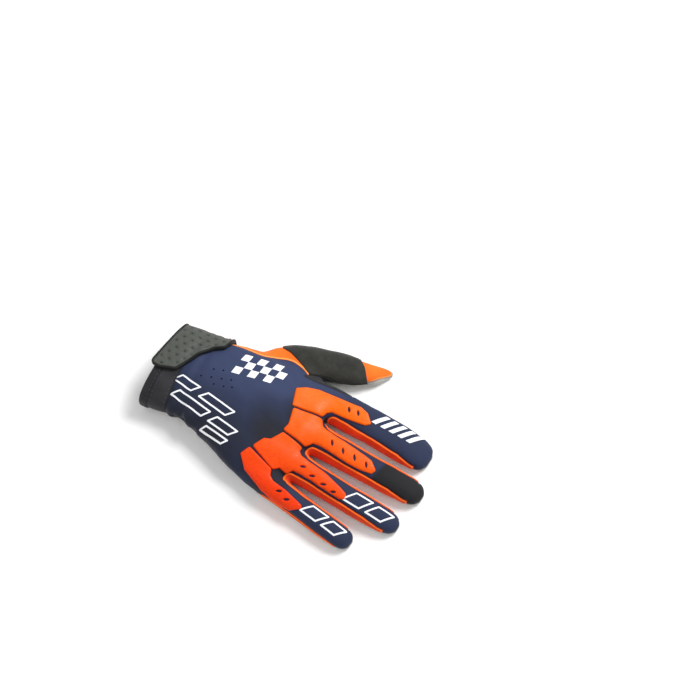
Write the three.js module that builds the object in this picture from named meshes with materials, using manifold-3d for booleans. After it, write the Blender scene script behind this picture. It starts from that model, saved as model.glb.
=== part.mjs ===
// A right-hand riding glove lying palm down: a hollow shell of sewn panels, with pads and a wrist strap on
// its back. Millimetres, +Z up. It is drawn from the middle of its wrist opening, with +X along the fingers
// and +Y towards the thumb, and is moved at the end so that its origin is under the middle of its outline.
import * as THREE from "three";
import { mergeVertices } from "three/addons/utils/BufferGeometryUtils.js";
import Module from "manifold-3d";

const wasm = await Module();
wasm.setup();

// Cloth, seams and the layers that lie on the back.
const WALL = 1.8;
const SEAM_GAP = 0.3;
const PAD_THICKNESS = 1.2;
const PATCH_THICKNESS = 1.0;
const STRAP_BASE_THICKNESS = 1.2;
const STRAP_TAB_THICKNESS = 2.0;
const STRAP_TAB_MARGIN = 1.2;

// The hand: lengths run along +X from the wrist opening, widths along Y, heights up from the table.
const PALM_LENGTH = 131;
const WRIST_WIDTH = 70;
const PALM_WIDTH = 101;
const WRIST_HEIGHT = 30;
const PALM_HEIGHT = 29;
const KNUCKLE_HEIGHT = 22;
const FINGERTIP_HEIGHT = 13;
// How far the little finger's knuckle lies behind the index finger's.
const KNUCKLE_RAKE = 14;

// The digits: each length runs from a root inside the palm to the tip.
const INDEX_LENGTH = 116;
const INDEX_WIDTH = 27;
const MIDDLE_LENGTH = 124;
const MIDDLE_WIDTH = 22;
const RING_LENGTH = 121;
const RING_WIDTH = 20.4;
const LITTLE_LENGTH = 103;
const LITTLE_WIDTH = 18.6;
const THUMB_LENGTH = 107;
const THUMB_WIDTH = 25;
const THUMB_HEIGHT = 19;
const THUMB_TIP_HEIGHT = 12;

// The cuff, its bound edge and the seams where the palm meets the back and the finger sides meet the back.
const BINDING_WIDTH = 6;
const BINDING_PROUD = 0.6;
const CUFF_WIDTH = 12;
const WRIST_SEAM_HEIGHT = 9;
const KNUCKLE_SEAM_HEIGHT = 5;
const TIP_SEAM_HEIGHT = 4;
const TIP_CAP = 8;
const CUFF_SLANT = 1.25;
// How far past the knuckle line the strips between the fingers start, and those along the two free sides.
const FORK_START = 1;
const INDEX_SIDE_START = 11;
const LITTLE_SIDE_START = -8;

// The pads' slits and corners, the thumb patch and the strap.
const SLIT_LENGTH = 4.5;
const SLIT_WIDTH = 1.5;
const PAD_CORNER = 2.5;
const PATCH_EDGE_HEIGHT = 8;
const STRAP_WIDTH = 41;
const STRAP_CORNER = 4;
const STRAP_EDGE_HEIGHT = 12;

// The finger sides end below the top of their finger, by shares of its height, and drop away towards its tip.
const SIDE_TOPS = [
  { along: 0.0, top: 0.86 },
  { along: 0.8, top: 0.86 },
  { along: 1.0, top: 0.66 },
];

// How finely curves are drawn, and how far cutting blocks reach past the glove.
const SECTION_POINTS = 14;
const CORNER_STEPS = 2;
const CORNER_SHARE = 0.45;
const REACH = 40;
const SIDE_REACH = 3;
const STRAP_OVERHANG = 8;

// A section is a rounded box. Its widest level and its corner powers set how round the top and the sole are,
// and the sole is cut off level where it rests on the table.
const WIDEST_LEVEL = 0.43;
const TOP_POWER = 2.5;
const SOLE_POWER = 2.6;
const SOLE_SAG = 0.06;
// What a hollow narrows down to at least, in the tip of a digit.
const THINNEST = 0.2;

// One row per section of the hand. along is a share of PALM_LENGTH. The half width goes from the wrist's to
// the palm's by the share spread, and ulnar and radial are shares of it. rake is a share of KNUCKLE_RAKE. The
// rows from 0.12 to 0.26 are the gathers that the strap pulls in the cloth.
const HAND_SECTIONS = [
  { along: 0.0, spread: 0.0, ulnar: 1.0, radial: 0.98, height: 1.0, rake: 0.0 },
  { along: 0.12, spread: 0.0, ulnar: 0.965, radial: 1.04, height: 1.0, rake: 0.0 },
  { along: 0.155, spread: 0.0, ulnar: 0.93, radial: 1.055, height: 0.965, rake: 0.0 },
  { along: 0.19, spread: 0.0, ulnar: 0.96, radial: 1.07, height: 1.0, rake: 0.0 },
  { along: 0.225, spread: 0.0, ulnar: 0.91, radial: 1.085, height: 0.97, rake: 0.0 },
  { along: 0.26, spread: 0.0, ulnar: 0.94, radial: 1.1, height: 1.005, rake: 0.0 },
  { along: 0.38, spread: 0.33, ulnar: 0.91, radial: 1.07, height: 1.0, rake: 0.0 },
  { along: 0.5, spread: 0.66, ulnar: 0.91, radial: 1.0, height: 1.0, rake: 0.05 },
  { along: 0.64, spread: 0.9, ulnar: 0.97, radial: 0.95, height: 1.0, rake: 0.2 },
  { along: 0.77, spread: 1.0, ulnar: 1.02, radial: 0.93, height: 1.0, rake: 0.45 },
  { along: 0.9, spread: 1.0, ulnar: 1.07, radial: 0.91, height: 1.0, rake: 0.8 },
  { along: 0.975, spread: 1.0, ulnar: 1.06, radial: 0.89, height: 0.98, rake: 1.0 },
  { along: 1.0, spread: 1.0, ulnar: 1.03, radial: 0.86, height: 0.86, rake: 1.0 },
];
// Where along the hand its back stops rising or falling evenly and runs down to the knuckles.
const CREST = 0.55;
// How sharply the knuckle line falls back towards the little finger.
const RAKE_POWER = 3;

// One row per section of a finger. along is a share of its length, flare goes from 1 at its root width to 0
// at its own width, width and height are shares of the local sizes, and lift is how far the sole rises.
const FINGER_SECTIONS = [
  { along: 0.0, flare: 0.6, width: 0.66, height: 0.94, lift: 0.0, shift: 0.0 },
  { along: 0.24, flare: 0.97, width: 1.0, height: 1.0, lift: 0.0, shift: 0.0 },
  { along: 0.31, flare: 0.5, width: 1.0, height: 1.0, lift: 0.0, shift: 0.0 },
  { along: 0.43, flare: 0.1, width: 1.02, height: 1.0, lift: 0.0, shift: 0.0 },
  { along: 0.62, flare: 0.0, width: 1.0, height: 1.0, lift: 0.0, shift: 0.0 },
  { along: 0.85, flare: 0.0, width: 0.97, height: 0.99, lift: 0.0, shift: 0.0 },
  { along: 0.935, flare: 0.0, width: 0.87, height: 0.89, lift: 0.04, shift: 0.0 },
  { along: 0.98, flare: 0.0, width: 0.62, height: 0.7, lift: 0.11, shift: 0.0 },
  { along: 1.0, flare: 0.0, width: 0.32, height: 0.48, lift: 0.2, shift: 0.0 },
];

// The thumb runs out to a flat point. shift moves a section sideways by a share of the width.
const THUMB_SECTIONS = [
  { along: 0.0, flare: 0.0, width: 0.45, height: 0.9, lift: 0.0, shift: 0.0 },
  { along: 0.14, flare: 0.0, width: 0.92, height: 1.0, lift: 0.0, shift: 0.07 },
  { along: 0.28, flare: 0.0, width: 1.06, height: 1.04, lift: 0.0, shift: 0.12 },
  { along: 0.44, flare: 0.0, width: 1.04, height: 1.05, lift: 0.0, shift: 0.1 },
  { along: 0.57, flare: 0.0, width: 1.0, height: 1.04, lift: 0.0, shift: 0.03 },
  { along: 0.69, flare: 0.0, width: 0.93, height: 1.02, lift: 0.0, shift: -0.05 },
  { along: 0.79, flare: 0.0, width: 0.76, height: 0.98, lift: 0.0, shift: -0.1 },
  { along: 0.89, flare: 0.0, width: 0.56, height: 0.86, lift: 0.04, shift: -0.1 },
  { along: 0.96, flare: 0.0, width: 0.34, height: 0.66, lift: 0.1, shift: -0.04 },
  { along: 1.0, flare: 0.0, width: 0.16, height: 0.42, lift: 0.18, shift: 0.0 },
];

// Where each digit starts and how it lies. root is [along, across] in shares of PALM_LENGTH and PALM_WIDTH,
// heading is its angle to the hand in degrees, and bow moves its middle sideways by a share of its own width.
const DIGITS = {
  index: {
    length: INDEX_LENGTH, width: INDEX_WIDTH, rootWidth: 1.09, rootHeight: KNUCKLE_HEIGHT,
    tipHeight: FINGERTIP_HEIGHT, root: [0.763, 0.333], heading: -2.8, bow: 0.055, sections: FINGER_SECTIONS,
  },
  middle: {
    length: MIDDLE_LENGTH, width: MIDDLE_WIDTH, rootWidth: 1.25, rootHeight: KNUCKLE_HEIGHT,
    tipHeight: FINGERTIP_HEIGHT, root: [0.763, 0.048], heading: -2.5, bow: -0.03, sections: FINGER_SECTIONS,
  },
  ring: {
    length: RING_LENGTH, width: RING_WIDTH, rootWidth: 1.27, rootHeight: KNUCKLE_HEIGHT,
    tipHeight: FINGERTIP_HEIGHT, root: [0.748, -0.202], heading: -4.6, bow: -0.04, sections: FINGER_SECTIONS,
  },
  little: {
    length: LITTLE_LENGTH, width: LITTLE_WIDTH, rootWidth: 1.12, rootHeight: KNUCKLE_HEIGHT,
    tipHeight: FINGERTIP_HEIGHT, root: [0.702, -0.402], heading: -9.5, bow: -0.02, sections: FINGER_SECTIONS,
  },
  thumb: {
    length: THUMB_LENGTH, width: THUMB_WIDTH, rootWidth: 1.0, rootHeight: THUMB_HEIGHT,
    tipHeight: THUMB_TIP_HEIGHT, root: [0.458, 0.356], heading: 24.4, bow: 0.0, sections: THUMB_SECTIONS,
  },
};

// Outlines seen from above. Those of the pads and the thumb patch follow their digit: along is a share of its
// length and across of its width, positive towards the thumb. All go round the same way.
const PADS = {
  index: {
    outline: [
      { along: 0.055, across: -0.69 },
      { along: 0.265, across: -0.66 },
      { along: 0.28, across: -0.4 },
      { along: 0.4, across: -0.3 },
      { along: 0.53, across: -0.19 },
      { along: 0.568, across: -0.09 },
      { along: 0.5, across: 0.17 },
      { along: 0.45, across: 0.205 },
      { along: 0.3, across: 0.12 },
      { along: 0.233, across: 0.035 },
      { along: 0.1, across: -0.04 },
      { along: 0.014, across: -0.245 },
    ],
    slits: [
      { along: 0.384, across: -0.03 },
      { along: 0.446, across: 0.016 },
    ],
    slitAngle: -55,
  },
  middle: {
    outline: [
      { along: 0.105, across: -0.48 },
      { along: 0.2, across: -0.455 },
      { along: 0.25, across: -0.33 },
      { along: 0.487, across: -0.235 },
      { along: 0.64, across: -0.24 },
      { along: 0.685, across: -0.2 },
      { along: 0.67, across: 0.03 },
      { along: 0.62, across: 0.115 },
      { along: 0.415, across: 0.14 },
      { along: 0.3, across: 0.25 },
      { along: 0.25, across: 0.33 },
      { along: 0.232, across: 0.5 },
      { along: 0.145, across: 0.4 },
      { along: 0.052, across: 0.285 },
    ],
    slits: [
      { along: 0.371, across: 0.0 },
      { along: 0.453, across: -0.05 },
      { along: 0.534, across: -0.055 },
      { along: 0.616, across: -0.065 },
    ],
    slitAngle: -55,
  },
  ring: {
    outline: [
      { along: -0.016, across: -0.3 },
      { along: 0.07, across: -0.53 },
      { along: 0.15, across: -0.56 },
      { along: 0.19, across: -0.42 },
      { along: 0.27, across: -0.36 },
      { along: 0.5, across: -0.47 },
      { along: 0.61, across: -0.45 },
      { along: 0.646, across: -0.15 },
      { along: 0.6, across: 0.01 },
      { along: 0.435, across: 0.15 },
      { along: 0.27, across: 0.28 },
      { along: 0.226, across: 0.48 },
      { along: 0.09, across: 0.6 },
      { along: 0.045, across: 0.15 },
      { along: 0.0, across: 0.05 },
    ],
    slits: [
      { along: 0.315, across: -0.03 },
      { along: 0.394, across: -0.13 },
      { along: 0.479, across: -0.17 },
      { along: 0.555, across: -0.21 },
    ],
    slitAngle: 25,
  },
  little: {
    outline: [
      { along: -0.04, across: 0.12 },
      { along: 0.06, across: -0.26 },
      { along: 0.2, across: -0.42 },
      { along: 0.4, across: -0.44 },
      { along: 0.51, across: -0.4 },
      { along: 0.575, across: -0.14 },
      { along: 0.565, across: 0.01 },
      { along: 0.385, across: 0.16 },
      { along: 0.26, across: 0.19 },
      { along: 0.22, across: 0.41 },
      { along: 0.11, across: 0.52 },
      { along: 0.0, across: 0.6 },
    ],
    slits: [
      { along: 0.37, across: -0.12 },
      { along: 0.45, across: -0.2 },
    ],
    slitAngle: 30,
  },
};

const PATCH_OUTLINE = [
  { along: 0.2, across: 0.44 },
  { along: 0.26, across: 0.27 },
  { along: 0.35, across: -0.11 },
  { along: 0.5, across: -0.9 },
  { along: 0.84, across: -0.9 },
  { along: 0.818, across: -0.4 },
  { along: 0.796, across: 0.0 },
  { along: 0.755, across: 0.35 },
  { along: 0.74, across: 0.9 },
  { along: 0.17, across: 0.9 },
];

// The strap lies over the wrist from its seam on the thumb side: along is a share of STRAP_WIDTH from the
// wrist opening, and across is a share of WRIST_WIDTH.
const STRAP_OUTLINE = [
  { along: -0.14, across: -0.14 },
  { along: 0.1, across: -0.142 },
  { along: 0.4, across: -0.08 },
  { along: 0.63, across: 0.206 },
  { along: 0.8, across: 0.345 },
  { along: 0.97, across: 0.41 },
  { along: 1.0, across: 0.5 },
  { along: 1.0, across: 0.75 },
  { along: 0.05, across: 0.75 },
  { along: 0.05, across: 0.414 },
  { along: -0.02, across: 0.197 },
];

// Zones of the back, in shares of PALM_LENGTH and PALM_WIDTH: the thumb with the band that runs to it from
// the wrist, and the strip in the fork between the thumb and the index finger.
const THUMB_ZONE = [
  { along: -0.2, across: 0.31 },
  { along: 0.08, across: 0.33 },
  { along: 0.24, across: 0.358 },
  { along: 0.35, across: 0.38 },
  { along: 0.495, across: 0.392 },
  { along: 0.565, across: 0.431 },
  { along: 0.64, across: 0.468 },
  { along: 0.7, across: 0.47 },
  { along: 0.76, across: 0.453 },
  { along: 0.82, across: 0.41 },
  { along: 0.88, across: 0.45 },
  { along: 1.14, across: 0.53 },
  { along: 1.4, across: 0.65 },
  { along: 1.4, across: 1.2 },
  { along: -0.2, across: 1.2 },
];
const THUMB_FORK_ZONE = [
  { along: 0.78, across: 0.405 },
  { along: 0.88, across: 0.412 },
  { along: 1.06, across: 0.442 },
  { along: 1.06, across: 0.51 },
  { along: 0.9, across: 0.51 },
  { along: 0.8, across: 0.455 },
];

const radians = THREE.MathUtils.degToRad;
const mix = THREE.MathUtils.lerp;
const ease = THREE.MathUtils.smoothstep;

function curved(value, power) {
  return Math.sign(value) * Math.abs(value) ** (2 / power);
}

// The outline of a section as [across, height] pairs, grown by offset. It runs from one edge of the level
// sole, over the top, to the other. The sole is the closing side, and is never lower than the section's own.
function outline(section, offset) {
  const right = Math.max(section.right + offset, THINNEST);
  const left = Math.max(section.left + offset, THINNEST);
  const floor = offset > 0 ? section.sole : section.sole - offset;
  const top = Math.max(section.top + offset, floor + THINNEST);
  const widest = mix(floor, top, WIDEST_LEVEL);
  const bottom = floor - SOLE_SAG * (top - floor);
  const under = Math.asin(((widest - floor) / (widest - bottom)) ** (SOLE_POWER / 2));
  const points = [];
  for (let i = 0; i < SECTION_POINTS; i++) {
    const angle = mix(-under, Math.PI + under, i / (SECTION_POINTS - 1));
    const across = Math.cos(angle);
    const upward = Math.sin(angle);
    const power = upward > 0 ? TOP_POWER : SOLE_POWER;
    const z = widest + (upward > 0 ? top - widest : widest - bottom) * curved(upward, power);
    points.push([(across > 0 ? right : left) * curved(across, power), z]);
  }
  return points;
}

// A closed body through rings of equal size, listed along the way that the body runs.
function loft(rings) {
  const sides = rings[0].length;
  const points = rings.flat();
  const faces = [];
  for (let r = 0; r + 1 < rings.length; r++) {
    for (let i = 0; i < sides; i++) {
      const here = r * sides + i;
      const next = r * sides + ((i + 1) % sides);
      faces.push(here, next, here + sides, next, next + sides, here + sides);
    }
  }
  const middle = (ring) => ring.reduce((sum, p) => sum.add(p), new THREE.Vector3()).divideScalar(sides);
  const last = (rings.length - 1) * sides;
  const startCentre = points.push(middle(rings[0])) - 1;
  const endCentre = points.push(middle(rings.at(-1))) - 1;
  for (let i = 0; i < sides; i++) {
    const j = (i + 1) % sides;
    faces.push(startCentre, j, i, endCentre, last + i, last + j);
  }
  const geometry = new THREE.BufferGeometry().setFromPoints(points);
  geometry.setIndex(faces);
  return solidOf(geometry);
}

// A three.js geometry as a solid for cutting and joining.
function solidOf(geometry) {
  const bare = geometry.clone();
  bare.deleteAttribute("normal");
  bare.deleteAttribute("uv");
  const merged = mergeVertices(bare, 1e-4);
  const mesh = new wasm.Mesh({
    numProp: 3,
    vertProperties: new Float32Array(merged.getAttribute("position").array),
    triVerts: new Uint32Array(merged.index.array),
  });
  return new wasm.Manifold(mesh);
}

const join = (solids) => solids.reduce((whole, solid) => whole.add(solid));

// A level block between two corners.
function block(low, high) {
  const size = new THREE.Vector3().subVectors(high, low);
  const box = new THREE.BoxGeometry(size.x, size.y, size.z);
  const centre = new THREE.Vector3().addVectors(low, high).multiplyScalar(0.5);
  return solidOf(box.translate(centre.x, centre.y, centre.z));
}

// The height of the hand's back over the middle of its width.
function handHeight(along) {
  if (along < CREST) return mix(WRIST_HEIGHT, PALM_HEIGHT, along / CREST);
  return mix(PALM_HEIGHT, KNUCKLE_HEIGHT, ease(along, CREST, 1));
}

// How far back from the end of the palm the knuckle line lies, at a place across the hand.
function raked(across) {
  return KNUCKLE_RAKE * Math.max(0.5 - across / PALM_WIDTH, 0) ** RAKE_POWER;
}

// The hand without its digits, grown by offset and run out past the wrist by overhang.
function hand(offset, overhang) {
  const rings = HAND_SECTIONS.map((row) => {
    const half = mix(WRIST_WIDTH, PALM_WIDTH, row.spread) / 2;
    const section = {
      right: half * row.radial,
      left: half * row.ulnar,
      sole: 0,
      top: handHeight(row.along) * row.height,
    };
    return outline(section, offset).map(([across, z]) => {
      const x = row.along * (PALM_LENGTH + offset) - row.rake * raked(across);
      return new THREE.Vector3(x, across, z);
    });
  });
  const mouth = rings[0].map((p) => new THREE.Vector3(p.x - overhang, p.y, p.z));
  return loft(overhang > 0 ? [mouth, ...rings] : rings);
}

// A point so far along a digit, so far to its thumb side, and at a height.
function onDigit(digit, distance, across, z) {
  const turn = radians(digit.heading);
  const share = THREE.MathUtils.clamp(distance / digit.length, 0, 1);
  const aside = across + digit.bow * digit.width * Math.sin(Math.PI * share);
  return new THREE.Vector3(
    digit.root[0] * PALM_LENGTH + Math.cos(turn) * distance - Math.sin(turn) * aside,
    digit.root[1] * PALM_WIDTH + Math.sin(turn) * distance + Math.cos(turn) * aside,
    z,
  );
}

function digitHeight(digit, distance) {
  return mix(digit.rootHeight, digit.tipHeight, THREE.MathUtils.clamp(distance / digit.length, 0, 1));
}

// A digit grown by offset.
function finger(digit, offset) {
  const rings = digit.sections.map((row) => {
    const half = (digit.width * row.width * mix(1, digit.rootWidth, row.flare)) / 2;
    const distance = row.along * (digit.length + offset);
    const height = digitHeight(digit, row.along * digit.length) * row.height;
    const section = { right: half, left: half, sole: row.lift * height, top: height };
    return outline(section, offset).map(([across, z]) => {
      return onDigit(digit, distance, across + row.shift * digit.width, z);
    });
  });
  return loft(rings);
}

const grownFingers = (offset) => join(Object.values(DIGITS).map((digit) => finger(digit, offset)));
const gloveForm = (offset, overhang = 0) => hand(offset, overhang).add(grownFingers(offset));

// Everything below the seam between the palm and the back, as a profile swept across the hand.
const FAR_END = PALM_LENGTH + MIDDLE_LENGTH;
function seamBody(shift) {
  const side = new THREE.Shape();
  side.moveTo(-REACH, -REACH);
  side.lineTo(FAR_END, -REACH);
  side.lineTo(FAR_END, TIP_SEAM_HEIGHT + shift);
  side.lineTo(PALM_LENGTH, KNUCKLE_SEAM_HEIGHT + shift);
  side.lineTo(0, WRIST_SEAM_HEIGHT + shift);
  side.lineTo(-REACH, WRIST_SEAM_HEIGHT + shift);
  const swept = new THREE.ExtrudeGeometry(side, { depth: 4 * PALM_WIDTH, bevelEnabled: false });
  return solidOf(swept.rotateX(Math.PI / 2).translate(0, 2 * PALM_WIDTH, 0));
}

// A block along one side of a digit, up to the seam that runs along its back. side is 1 on the thumb side.
function besideDigit(digit, side, from, to, grow) {
  const inner = -side * grow;
  const outer = side * (digit.width * 0.5 * digit.rootWidth + SIDE_REACH + grow);
  const rings = SIDE_TOPS.map((row) => {
    const distance = mix(from - grow, to + grow, row.along);
    const top = digitHeight(digit, distance) * row.top + grow;
    const corners = [[outer, -REACH], [outer, top], [inner, top], [inner, -REACH]];
    const ordered = side > 0 ? corners : corners.toReversed();
    return ordered.map(([across, z]) => onDigit(digit, distance, across, z));
  });
  return loft(rings);
}

// An outline seen from above, run upwards from a height.
function column(shape, from) {
  const body = new THREE.ExtrudeGeometry(shape, {
    depth: 2 * REACH,
    bevelEnabled: false,
    curveSegments: CORNER_STEPS,
  });
  return solidOf(body.translate(0, 0, from));
}

// The largest body of a cut, without the slivers that a cut can leave.
function mainBody(solid) {
  return solid.decompose().reduce((a, b) => (b.volume() > a.volume() ? b : a));
}

// Points of an outline, from rows of shares.
const scaled = (rows, length, width) => {
  return rows.map((row) => new THREE.Vector2(row.along * length, row.across * width));
};
function overDigit(digit, rows) {
  return rows.map((row) => {
    const point = onDigit(digit, row.along * digit.length, row.across * digit.width, 0);
    return new THREE.Vector2(point.x, point.y);
  });
}

// An outline with each side moved outwards by a distance, or inwards if it is negative.
function grown(points, distance) {
  const turn = THREE.ShapeUtils.isClockWise(points) ? -1 : 1;
  return points.map((point, i) => {
    const before = point.clone().sub(points.at(i - 1)).normalize();
    const after = points[(i + 1) % points.length].clone().sub(point).normalize();
    const outward = new THREE.Vector2(before.y + after.y, -before.x - after.x);
    return outward.multiplyScalar((turn * distance) / (1 + before.dot(after))).add(point);
  });
}

// A closed outline whose corners are rounded.
function rounded(points, radius) {
  const shape = new THREE.Shape();
  points.forEach((corner, i) => {
    const [entry, exit] = [points.at(i - 1), points[(i + 1) % points.length]].map((other) => {
      const edge = other.clone().sub(corner);
      return edge.setLength(Math.min(radius, edge.length() * CORNER_SHARE)).add(corner);
    });
    if (i === 0) shape.moveTo(entry.x, entry.y);
    else shape.lineTo(entry.x, entry.y);
    shape.quadraticCurveTo(corner.x, corner.y, exit.x, exit.y);
  });
  shape.closePath();
  return shape;
}

// A slot with round ends, for cutting through a pad.
function slit(centre, angle) {
  const half = (SLIT_LENGTH - SLIT_WIDTH) / 2;
  const along = new THREE.Vector2(half, 0).rotateAround(new THREE.Vector2(), angle);
  const path = new THREE.Path();
  [-1, 1].forEach((end, i) => {
    const middle = along.clone().multiplyScalar(end).add(centre);
    const start = angle + Math.PI * (0.5 + i);
    path.absarc(middle.x, middle.y, SLIT_WIDTH / 2, start, start + Math.PI, false);
  });
  path.closePath();
  return path;
}

// A layer that follows the glove's outside between two distances from it, within a column.
function layer(inner, outer, within) {
  const body = gloveForm(outer, STRAP_OVERHANG).subtract(gloveForm(inner, 2 * STRAP_OVERHANG));
  return mainBody(body.intersect(within));
}

// The sewn shell, split at its seams.
const shell = gloveForm(0).subtract(gloveForm(-WALL, WALL));
const pastBinding = block(
  new THREE.Vector3(BINDING_WIDTH + SEAM_GAP, -2 * PALM_WIDTH, -REACH),
  new THREE.Vector3(2 * FAR_END, 2 * PALM_WIDTH, 2 * REACH),
);
const body = shell.intersect(pastBinding);
const palm = body.intersect(seamBody(-SEAM_GAP / 2));
const upper = body.subtract(seamBody(SEAM_GAP / 2));

// What is left of the upper after each piece is cut out of it with a gap round it.
let rest = upper;
function cutFromUpper(piece) {
  const cut = mainBody(rest.intersect(piece(0)));
  rest = rest.subtract(piece(SEAM_GAP));
  return cut;
}
function zone(rows) {
  const points = scaled(rows, PALM_LENGTH, PALM_WIDTH);
  return (grow) => column(new THREE.Shape(grown(points, grow)), -REACH);
}

// A strip along the sides of fingers, each given as [digit, side, how far along it the strip starts].
function sideStrip(sides) {
  return (grow) => join(
    sides.map(([digit, side, start]) => {
      return besideDigit(digit, side, start, digit.length - TIP_CAP, grow);
    }),
  );
}

// How far along a digit a strip starts that begins so far past the knuckle line, at a place across the hand.
function pastKnuckles(digit, across, distance) {
  return (1 - digit.root[0]) * PALM_LENGTH - raked(across) + distance;
}

// The strip between two neighbouring fingers.
function forkStrip(upper, lower) {
  const fork = ((upper.root[1] + lower.root[1]) / 2) * PALM_WIDTH;
  return sideStrip([
    [upper, -1, pastKnuckles(upper, fork, FORK_START)],
    [lower, 1, pastKnuckles(lower, fork, FORK_START)],
  ]);
}

const { index, middle, ring, little, thumb } = DIGITS;
const pieces = {};
pieces.thumb_fork = cutFromUpper(zone(THUMB_FORK_ZONE));
pieces.thumb_panel = cutFromUpper(zone(THUMB_ZONE));
pieces.cuff = cutFromUpper((grow) => {
  const front = BINDING_WIDTH + CUFF_WIDTH;
  const corners = [
    new THREE.Vector2(-REACH, -PALM_WIDTH),
    new THREE.Vector2(front * CUFF_SLANT, -PALM_WIDTH / 2),
    new THREE.Vector2(front, 0),
    new THREE.Vector2(front, PALM_WIDTH),
    new THREE.Vector2(-REACH, PALM_WIDTH),
  ];
  return column(new THREE.Shape(grown(corners, grow)), -REACH);
});
const indexSideStart = pastKnuckles(index, PALM_WIDTH / 2, INDEX_SIDE_START);
pieces.side_index = cutFromUpper(sideStrip([[index, 1, indexSideStart]]));
pieces.fork_index_middle = cutFromUpper(forkStrip(index, middle));
pieces.fork_middle_ring = cutFromUpper(forkStrip(middle, ring));
pieces.fork_ring_little = cutFromUpper(forkStrip(ring, little));
const littleSideStart = pastKnuckles(little, little.root[1] * PALM_WIDTH, LITTLE_SIDE_START);
pieces.side_little = cutFromUpper(sideStrip([[little, -1, littleSideStart]]));
pieces.back_panel = mainBody(rest);
pieces.palm_panel = mainBody(palm);

const bindingSlab = block(
  new THREE.Vector3(0, -PALM_WIDTH, -REACH),
  new THREE.Vector3(BINDING_WIDTH, PALM_WIDTH, REACH),
);
pieces.cuff_binding = gloveForm(BINDING_PROUD).subtract(gloveForm(-WALL, WALL)).intersect(bindingSlab);

// Pads over the knuckles, with slits through them.
for (const [name, pad] of Object.entries(PADS)) {
  const digit = DIGITS[name];
  const shape = rounded(overDigit(digit, pad.outline), PAD_CORNER);
  const angle = radians(pad.slitAngle + digit.heading);
  shape.holes = overDigit(digit, pad.slits).map((centre) => slit(centre, angle));
  pieces[`pad_${name}`] = layer(SEAM_GAP, SEAM_GAP + PAD_THICKNESS, column(shape, KNUCKLE_SEAM_HEIGHT));
}
const patchShape = rounded(overDigit(thumb, PATCH_OUTLINE), PAD_CORNER);
pieces.thumb_patch = layer(SEAM_GAP, SEAM_GAP + PATCH_THICKNESS, column(patchShape, PATCH_EDGE_HEIGHT));

// The wrist strap: a cloth base with a moulded tab on it, clear of the bound edge under it.
const strapPoints = scaled(STRAP_OUTLINE, STRAP_WIDTH, WRIST_WIDTH);
const strapFloor = BINDING_PROUD + SEAM_GAP;
const tabFloor = strapFloor + STRAP_BASE_THICKNESS + SEAM_GAP;
const strapColumn = (inset) => {
  return column(rounded(grown(strapPoints, -inset), STRAP_CORNER), STRAP_EDGE_HEIGHT + inset);
};
pieces.strap_base = layer(strapFloor, strapFloor + STRAP_BASE_THICKNESS, strapColumn(0));
pieces.strap_tab = layer(tabFloor, tabFloor + STRAP_TAB_THICKNESS, strapColumn(STRAP_TAB_MARGIN));

// Colours and finishes.
const FINISHES = {
  navy: { color: 0x2c3452, roughness: 0.85, metalness: 0 },
  orange: { color: 0xff5a0c, roughness: 0.7, metalness: 0 },
  rubber: { color: 0xff5f10, roughness: 0.5, metalness: 0 },
  suede: { color: 0xb4b2ab, roughness: 0.95, metalness: 0 },
  black: { color: 0x242427, roughness: 0.9, metalness: 0 },
  moulded: { color: 0x4b4d49, roughness: 0.6, metalness: 0 },
};
const PIECE_FINISH = {
  palm_panel: "suede",
  back_panel: "navy",
  fork_index_middle: "orange",
  fork_middle_ring: "orange",
  fork_ring_little: "orange",
  side_index: "orange",
  side_little: "orange",
  thumb_panel: "orange",
  thumb_patch: "black",
  thumb_fork: "black",
  cuff: "black",
  cuff_binding: "black",
  strap_base: "black",
  strap_tab: "moulded",
  pad_index: "rubber",
  pad_middle: "rubber",
  pad_ring: "rubber",
  pad_little: "rubber",
};

function meshOf(name) {
  const { vertProperties, triVerts } = pieces[name].getMesh();
  const geometry = new THREE.BufferGeometry();
  geometry.setAttribute("position", new THREE.BufferAttribute(vertProperties, 3));
  geometry.setIndex(new THREE.BufferAttribute(triVerts, 1));
  geometry.computeVertexNormals();
  const mesh = new THREE.Mesh(geometry, new THREE.MeshStandardMaterial(FINISHES[PIECE_FINISH[name]]));
  mesh.name = name;
  return mesh;
}

const glove = new THREE.Group();
glove.add(...Object.keys(PIECE_FINISH).map(meshOf));
const bounds = new THREE.Box3().setFromObject(glove, true);
const centre = bounds.getCenter(new THREE.Vector3());
glove.position.set(-centre.x, -centre.y, -bounds.min.z);

export default glove;
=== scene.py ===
# %% [markdown]
# This is a riding glove for the right hand, lying palm down on a table. The real one is sewn from flat
# panels of stretch cloth and suede, has moulded pads over the knuckles and closes with a strap on the
# wrist. Here one smooth skin is made first, as a whole hand. It is then cut along the lines of the seams,
# so that neighbouring panels meet exactly, and each layer that lies on it is lifted off the same skin.

# %% Load the fixed model
import math
from collections import namedtuple

import bmesh
import bpy
import numpy as np
from mathutils import Matrix, Vector, noise
from mathutils.bvhtree import BVHTree
from mathutils.kdtree import KDTree


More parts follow.
